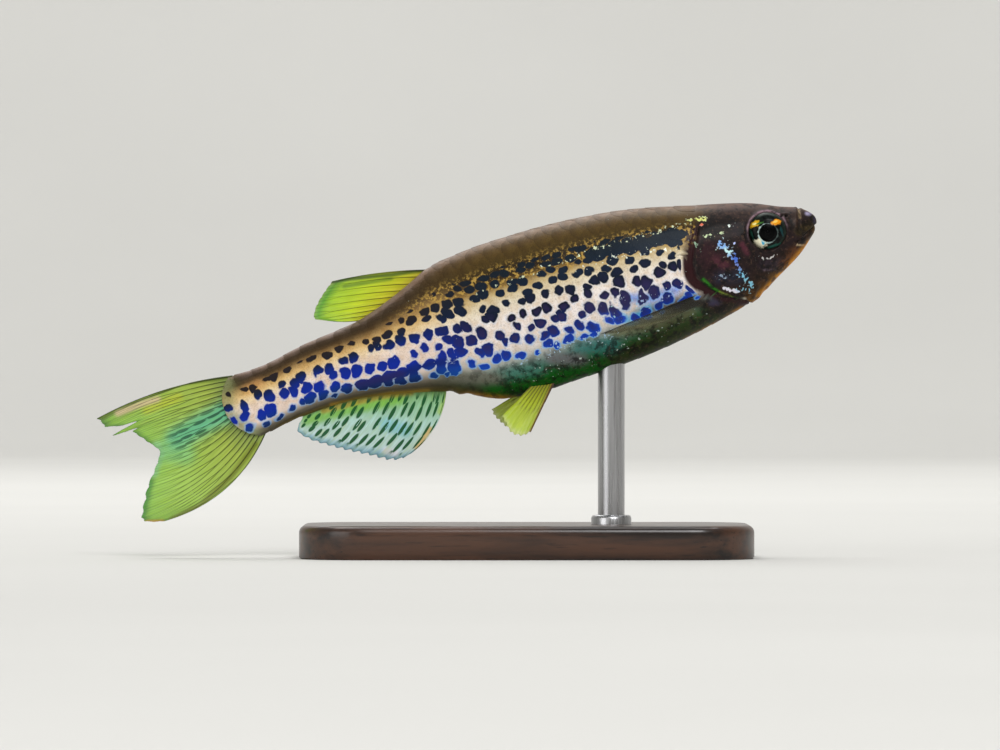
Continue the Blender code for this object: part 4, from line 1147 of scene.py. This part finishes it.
def make_median_fins(bone):
    """The fins in the middle plane: on the back, under the tail and at its end."""
    root = along_profile(back_height, *DORSAL_ROOT, lift=-0.12)
    shape = fan_shape(root, flat_line(DORSAL_TIPS), bow=(0.16, -0.05), wave=0.25)
    paint = painter(DORSAL_COLOURS, DORSAL_WASHES)
    rays, margin = DORSAL_RAYS, scalloped(DORSAL_RAYS, depth=0.008)
    film = film_finish("dorsal_fin_film", alpha=0.88)
    look = {"size": 0.04, "forks_at": (0.7, 0.92), "shade": 0.3}
    make_fin("dorsal", "dorsal_fin", shape, rays, margin, paint, film, bone, **look)

    root = along_profile(belly_height, *ANAL_ROOT, lift=0.12, crowding=ANAL_CROWDING)
    shape = fan_shape(root, flat_line(ANAL_TIPS), bow=(-0.5, -0.08), wave=-0.2)
    paint = painter(ANAL_COLOURS, ANAL_WASHES, lambda back, up, s: smooth(0.97, 0.88, s) * smooth(0.0, 0.12, s))
    rays, margin = ANAL_RAYS, scalloped(ANAL_RAYS, depth=0.035)
    film = film_finish("anal_fin_film", alpha=0.92, dashes=(0.97, 4.2), dash="#0a5224")
    look = {"size": 0.03, "forks_at": (0.5, 0.8), "shade": 1.0}
    make_fin("anal", "anal_fin", shape, rays, margin, paint, film, bone, **look)

    tips = np.array([(-back, 0, up) for back, up in TAIL_FIN_TIPS])  # straight from tip to tip, for sharp nicks
    shares = np.linspace(0, 1, len(tips))

    def tip_line(t):
        return np.stack([np.interp(t, shares, tips[:, i]) for i in range(3)], axis=-1)

    def torn(t):
        tears = [depth * bell(t * (TAIL_RAYS - 1) - place, width) for place, depth, width in TAIL_FIN_TEARS]
        return scalloped(TAIL_RAYS, depth=0.004, ragged=0.012, seed=3)(t) - sum(tears)

    def streaks(back, up, s):
        return bell(distance_to(back, up, ((40.0, -0.6), (37.2, 0.1))), 1.1)

    shape = fan_shape(flat_line(TAIL_FIN_ROOT), tip_line, bow=(0.42, -0.95), wave=0.35)
    paint = painter(TAIL_FIN_COLOURS, TAIL_FIN_WASHES, streaks)
    film = film_finish("tail_fin_film", alpha=0.86, dashes=(0.8, 5.5), dash="#0c2c24")
    look = {"size": 0.045, "forks_at": (0.3, 0.6), "shade": 0.3}
    make_fin("tail", "caudal_fin", shape, TAIL_RAYS, torn, paint, film, bone, **look)


PECTORAL_ROOT = ((8.3, -2.1), (8.2, -2.35), (8.0, -2.6))
PECTORAL_TIPS = (
    (14.4, 4.55, -2.5), (14.1, 4.1, -2.6), (13.5, 3.7, -2.72), (12.6, 3.35, -2.84), (11.6, 3.05, -2.94),
    (10.7, 2.85, -3.0),
)
PELVIC_ROOT = ((17.9, 0.8), (19.2, 0.95))
PELVIC_TIPS = {
    "right": ((20.15, 1.9, -6.72), (20.7, 2.15, -6.78), (21.25, 2.2, -6.45), (21.4, 2.05, -5.8), (21.5, 1.85, -5.3)),
    "left": ((20.7, 1.9, -6.3), (21.3, 2.15, -6.15), (21.7, 2.2, -5.6), (21.95, 2.1, -5.0), (21.95, 1.95, -4.75)),
}
BREAST_RAYS, BELLY_RAYS = 11, 8
BREAST_FIN_COLOURS = ((0.0, "#5c542c"), (0.5, "#746c40"), (1.0, "#9c9664"))
BELLY_FIN_COLOURS = ((0.0, "#8c8a10"), (0.4, "#b4c01a"), (0.9, "#c6dc3c"), (1.0, "#dce690"))


def edged(stops, code):
    """A fin's paint with its first ray's edge in another colour."""
    def paint(t, s, places):
        return tinted(ramp(stops, s), code, 0.85 * smooth(0.14, 0.02, t)), 0 * s

    return paint


def make_paired_fins(word, side, bone, breast_film, belly_film):
    """The breast fin, spread out and back from behind the gill cover, and the belly fin."""
    root_line = line_through(PECTORAL_ROOT)

    def breast_root(t):
        back, up = np.moveaxis(root_line(t), -1, 0)
        return stacked(-back, side * (side_width(back, up) - 0.08), up)

    tips = line_through([(-back, side * out, up) for back, out, up in PECTORAL_TIPS])
    shape = fan_shape(breast_root, tips, out=(0, side * 0.35, 1.0))
    paint = edged(BREAST_FIN_COLOURS, "#2c240e")
    name, node, margin = "breast_fin_" + word, "pectoral_fin_" + word, scalloped(BREAST_RAYS, depth=0.02)
    look = {"size": 0.032, "forks_at": (0.5, 0.8), "shade": 0.12}
    make_fin(name, node, shape, BREAST_RAYS, margin, paint, breast_film, bone, **look)

    def belly_root(t):
        back, out = (PELVIC_ROOT[0][i] + (PELVIC_ROOT[1][i] - PELVIC_ROOT[0][i]) * t for i in (0, 1))
        return stacked(-back, side * out, under_side(back, out) + 0.12)

    tips = line_through([(-back, side * out, up) for back, out, up in PELVIC_TIPS[word]])
    shape = fan_shape(belly_root, tips, out=(0, side, 0.3))
    paint = edged(BELLY_FIN_COLOURS, "#80401a")
    name, node, margin = "belly_fin_" + word, "pelvic_fin_" + word, scalloped(BELLY_RAYS, depth=0.03)
    look = {"size": 0.045, "forks_at": (0.4, 0.75), "shade": 0.4}
    make_fin(name, node, shape, BELLY_RAYS, margin, paint, belly_film, bone, **look)


# The stand, the studio and the camera.


BASE_SIDES, ROD_SIDES = 256, 64


def box_in_mm(node):
    return (np.array(corner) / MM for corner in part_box(node))


def make_stand():
    """The base is a rounded rectangle carried up a profile with a rounded upper edge. The rod is a round bar whose
    upper end follows the belly, with a collar at its foot."""
    low, high = box_in_mm("stand_base")
    corner_radius, rounding, foot_inset = 4.0, 0.45, 0.12
    turn = (np.arange(BASE_SIDES) + 0.5) * 2 * math.pi / BASE_SIDES
    heading = stacked(np.cos(turn), np.sin(turn))
    middle, half = (low + high)[:2] / 2, (high - low)[:2] / 2
    bend = np.linspace(0, math.pi / 2, 9)
    heights = np.concatenate([[0, foot_inset], high[2] - rounding + rounding * np.sin(bend)])
    insets = np.concatenate([[foot_inset, 0], rounding * (1 - np.cos(bend))])
    flat = middle + np.sign(heading) * (half - corner_radius) + heading * (corner_radius - insets[:, None, None])
    rings = np.concatenate([flat, np.broadcast_to(heights[:, None, None], flat.shape[:2] + (1,))], axis=-1)
    points = np.concatenate([rings.reshape(-1, 3), [[*middle, 0], [*middle, high[2]]]])
    base = make_piece("display_base", points * MM, tube_faces(len(heights), BASE_SIDES), wood_finish(), "base")
    base.data.set_sharp_from_angle(angle=RIM_ANGLE)
    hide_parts("stand_base")

    foot = high[2] - 0.2
    low, high = box_in_mm("stand_rod")
    middle, radius = (low + high)[:2] / 2, (high - low)[0] / 2
    turn = full_turn(ROD_SIDES)
    heading = stacked(np.cos(turn), np.sin(turn))
    collar = ((0.0, 1.5), (0.55, 1.5), (0.68, 1.44), (0.74, 1.32), (0.74, 1.0))
    rings = [
        np.column_stack([middle + radius * wide * heading, np.full(ROD_SIDES, foot + rise)])
        for rise, wide in collar
    ]
    x, y = (radius * heading).T
    back = (SNOUT_FORWARD - middle[0] - x) / math.cos(PITCH)
    back = back - under_side(back, y) * math.tan(PITCH)
    top = SNOUT_HEIGHT - back * math.sin(PITCH) + under_side(back, y) * math.cos(PITCH)
    rings.append(np.column_stack([middle + radius * heading, top + 0.15]))
    points = np.concatenate([np.array(rings).reshape(-1, 3), [[*middle, foot], [*middle, top.mean() + 0.15]]])
    rod = make_piece("display_rod", points * MM, tube_faces(len(rings), ROD_SIDES), steel_finish(), "rod")
    rod.data.set_sharp_from_angle(angle=RIM_ANGLE)
    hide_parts("stand_rod")


FLOOR_RADIUS, SWEEP_RADIUS, WALL_HEIGHT = 0.62, 0.35, 0.9  # metres
SWEEP_SIDES, FLOOR_RINGS = 96, 12
LIGHTS = (  # name, place and target in metres, size in metres and watts
    ("key_softbox", (0.12, -0.4, 0.34), (0.0, 0.0, 0.012), 0.24, 1.55),
    ("fill_softbox", (-0.36, -0.34, 0.12), (0.0, 0.0, 0.012), 0.3, 0.6),
    ("back_softbox", (-0.1, 0.3, 0.36), (0.0, 0.0, 0.012), 0.24, 0.55),
    ("wall_softbox", (0.0, 0.3, 0.8), (0.0, 0.9, 0.0), 0.7, 6.4),
)


def aim(item, place, target):
    """Sets an object at a place with its -Z axis towards a target and its Y axis up."""
    x, y, z = unit(np.array(target) - np.array(place))
    item.location = place
    item.rotation_euler = (math.acos(-z), 0.0, math.atan2(-x, y))
    bpy.context.scene.collection.objects.link(item)


def make_studio():
    """A round paper sweep, flat round the model and then a quarter circle up into a wall, with soft lights."""
    turn = full_turn(SWEEP_SIDES)[None, :]
    bend = np.linspace(0, math.pi / 2, 24)
    radius = np.concatenate([np.linspace(0.01, FLOOR_RADIUS, FLOOR_RINGS), FLOOR_RADIUS + SWEEP_RADIUS * np.sin(bend)])
    height = np.concatenate([np.zeros(FLOOR_RINGS), SWEEP_RADIUS * (1 - np.cos(bend))])
    radius, height = np.append(radius, radius[-1])[:, None], np.append(height, WALL_HEIGHT)[:, None]
    rings = stacked(radius * np.cos(turn), radius * np.sin(turn), height).reshape(-1, 3)
    rings = np.append(rings, [[0, 0, 0]], axis=0)
    middle_fan = fan(np.arange(SWEEP_SIDES), len(rings) - 1)
    faces = np.concatenate([grid_faces(len(radius), SWEEP_SIDES, wrap=True), middle_fan])
    sweep = bpy.data.objects.new("paper_sweep", new_mesh("paper_sweep", rings, faces, sweep_finish()))
    bpy.context.scene.collection.objects.link(sweep)

    for name, place, target, size, watts in LIGHTS:
        lamp = bpy.data.lights.new(name, "AREA")
        lamp.size = size
        lamp.energy = watts
        aim(bpy.data.objects.new(name, lamp), place, target)
    world = bpy.data.worlds.new("soft_room")
    world.use_nodes = True
    feed(world.node_tree.nodes["Background"].inputs["Color"], "#f4f6f8")
    feed(world.node_tree.nodes["Background"].inputs["Strength"], 0.3)
    bpy.context.scene.world = world
    bpy.context.scene.view_settings.view_transform = "Standard"


FRAME_WIDTH = 59.665  # millimetres across the picture at the fish
VIEW_FORWARD, VIEW_HEIGHT = 2.62, 10.89  # what the picture's middle looks at
LENS, SENSOR = 300.0, 36.0


def make_camera():
    """Square to the fish's side, as far away as shows the frame's width at the fish."""
    lens = bpy.data.cameras.new("camera")
    lens.lens, lens.sensor_width = LENS, SENSOR
    lens.clip_start = 0.005
    away = FRAME_WIDTH * LENS / SENSOR * MM
    target = (VIEW_FORWARD * MM, 0.0, VIEW_HEIGHT * MM)
    camera = bpy.data.objects.new("camera", lens)
    aim(camera, (target[0], -away, target[2]), target)
    bpy.context.scene.camera = camera


make_studio()
make_camera()
skin = skin_finish()
make_skin(skin)
make_barbels(skin)
eye = eye_finish()
bone = ray_finish()
breast_film = film_finish("breast_fin_film", alpha=0.36)
belly_film = film_finish("belly_fin_film", alpha=0.86)
make_median_fins(bone)
for word, side in (("right", -1), ("left", 1)):
    make_scales(word, side, skin)
    make_eye(word, side, eye)
    make_paired_fins(word, side, bone, breast_film, belly_film)
make_stand()
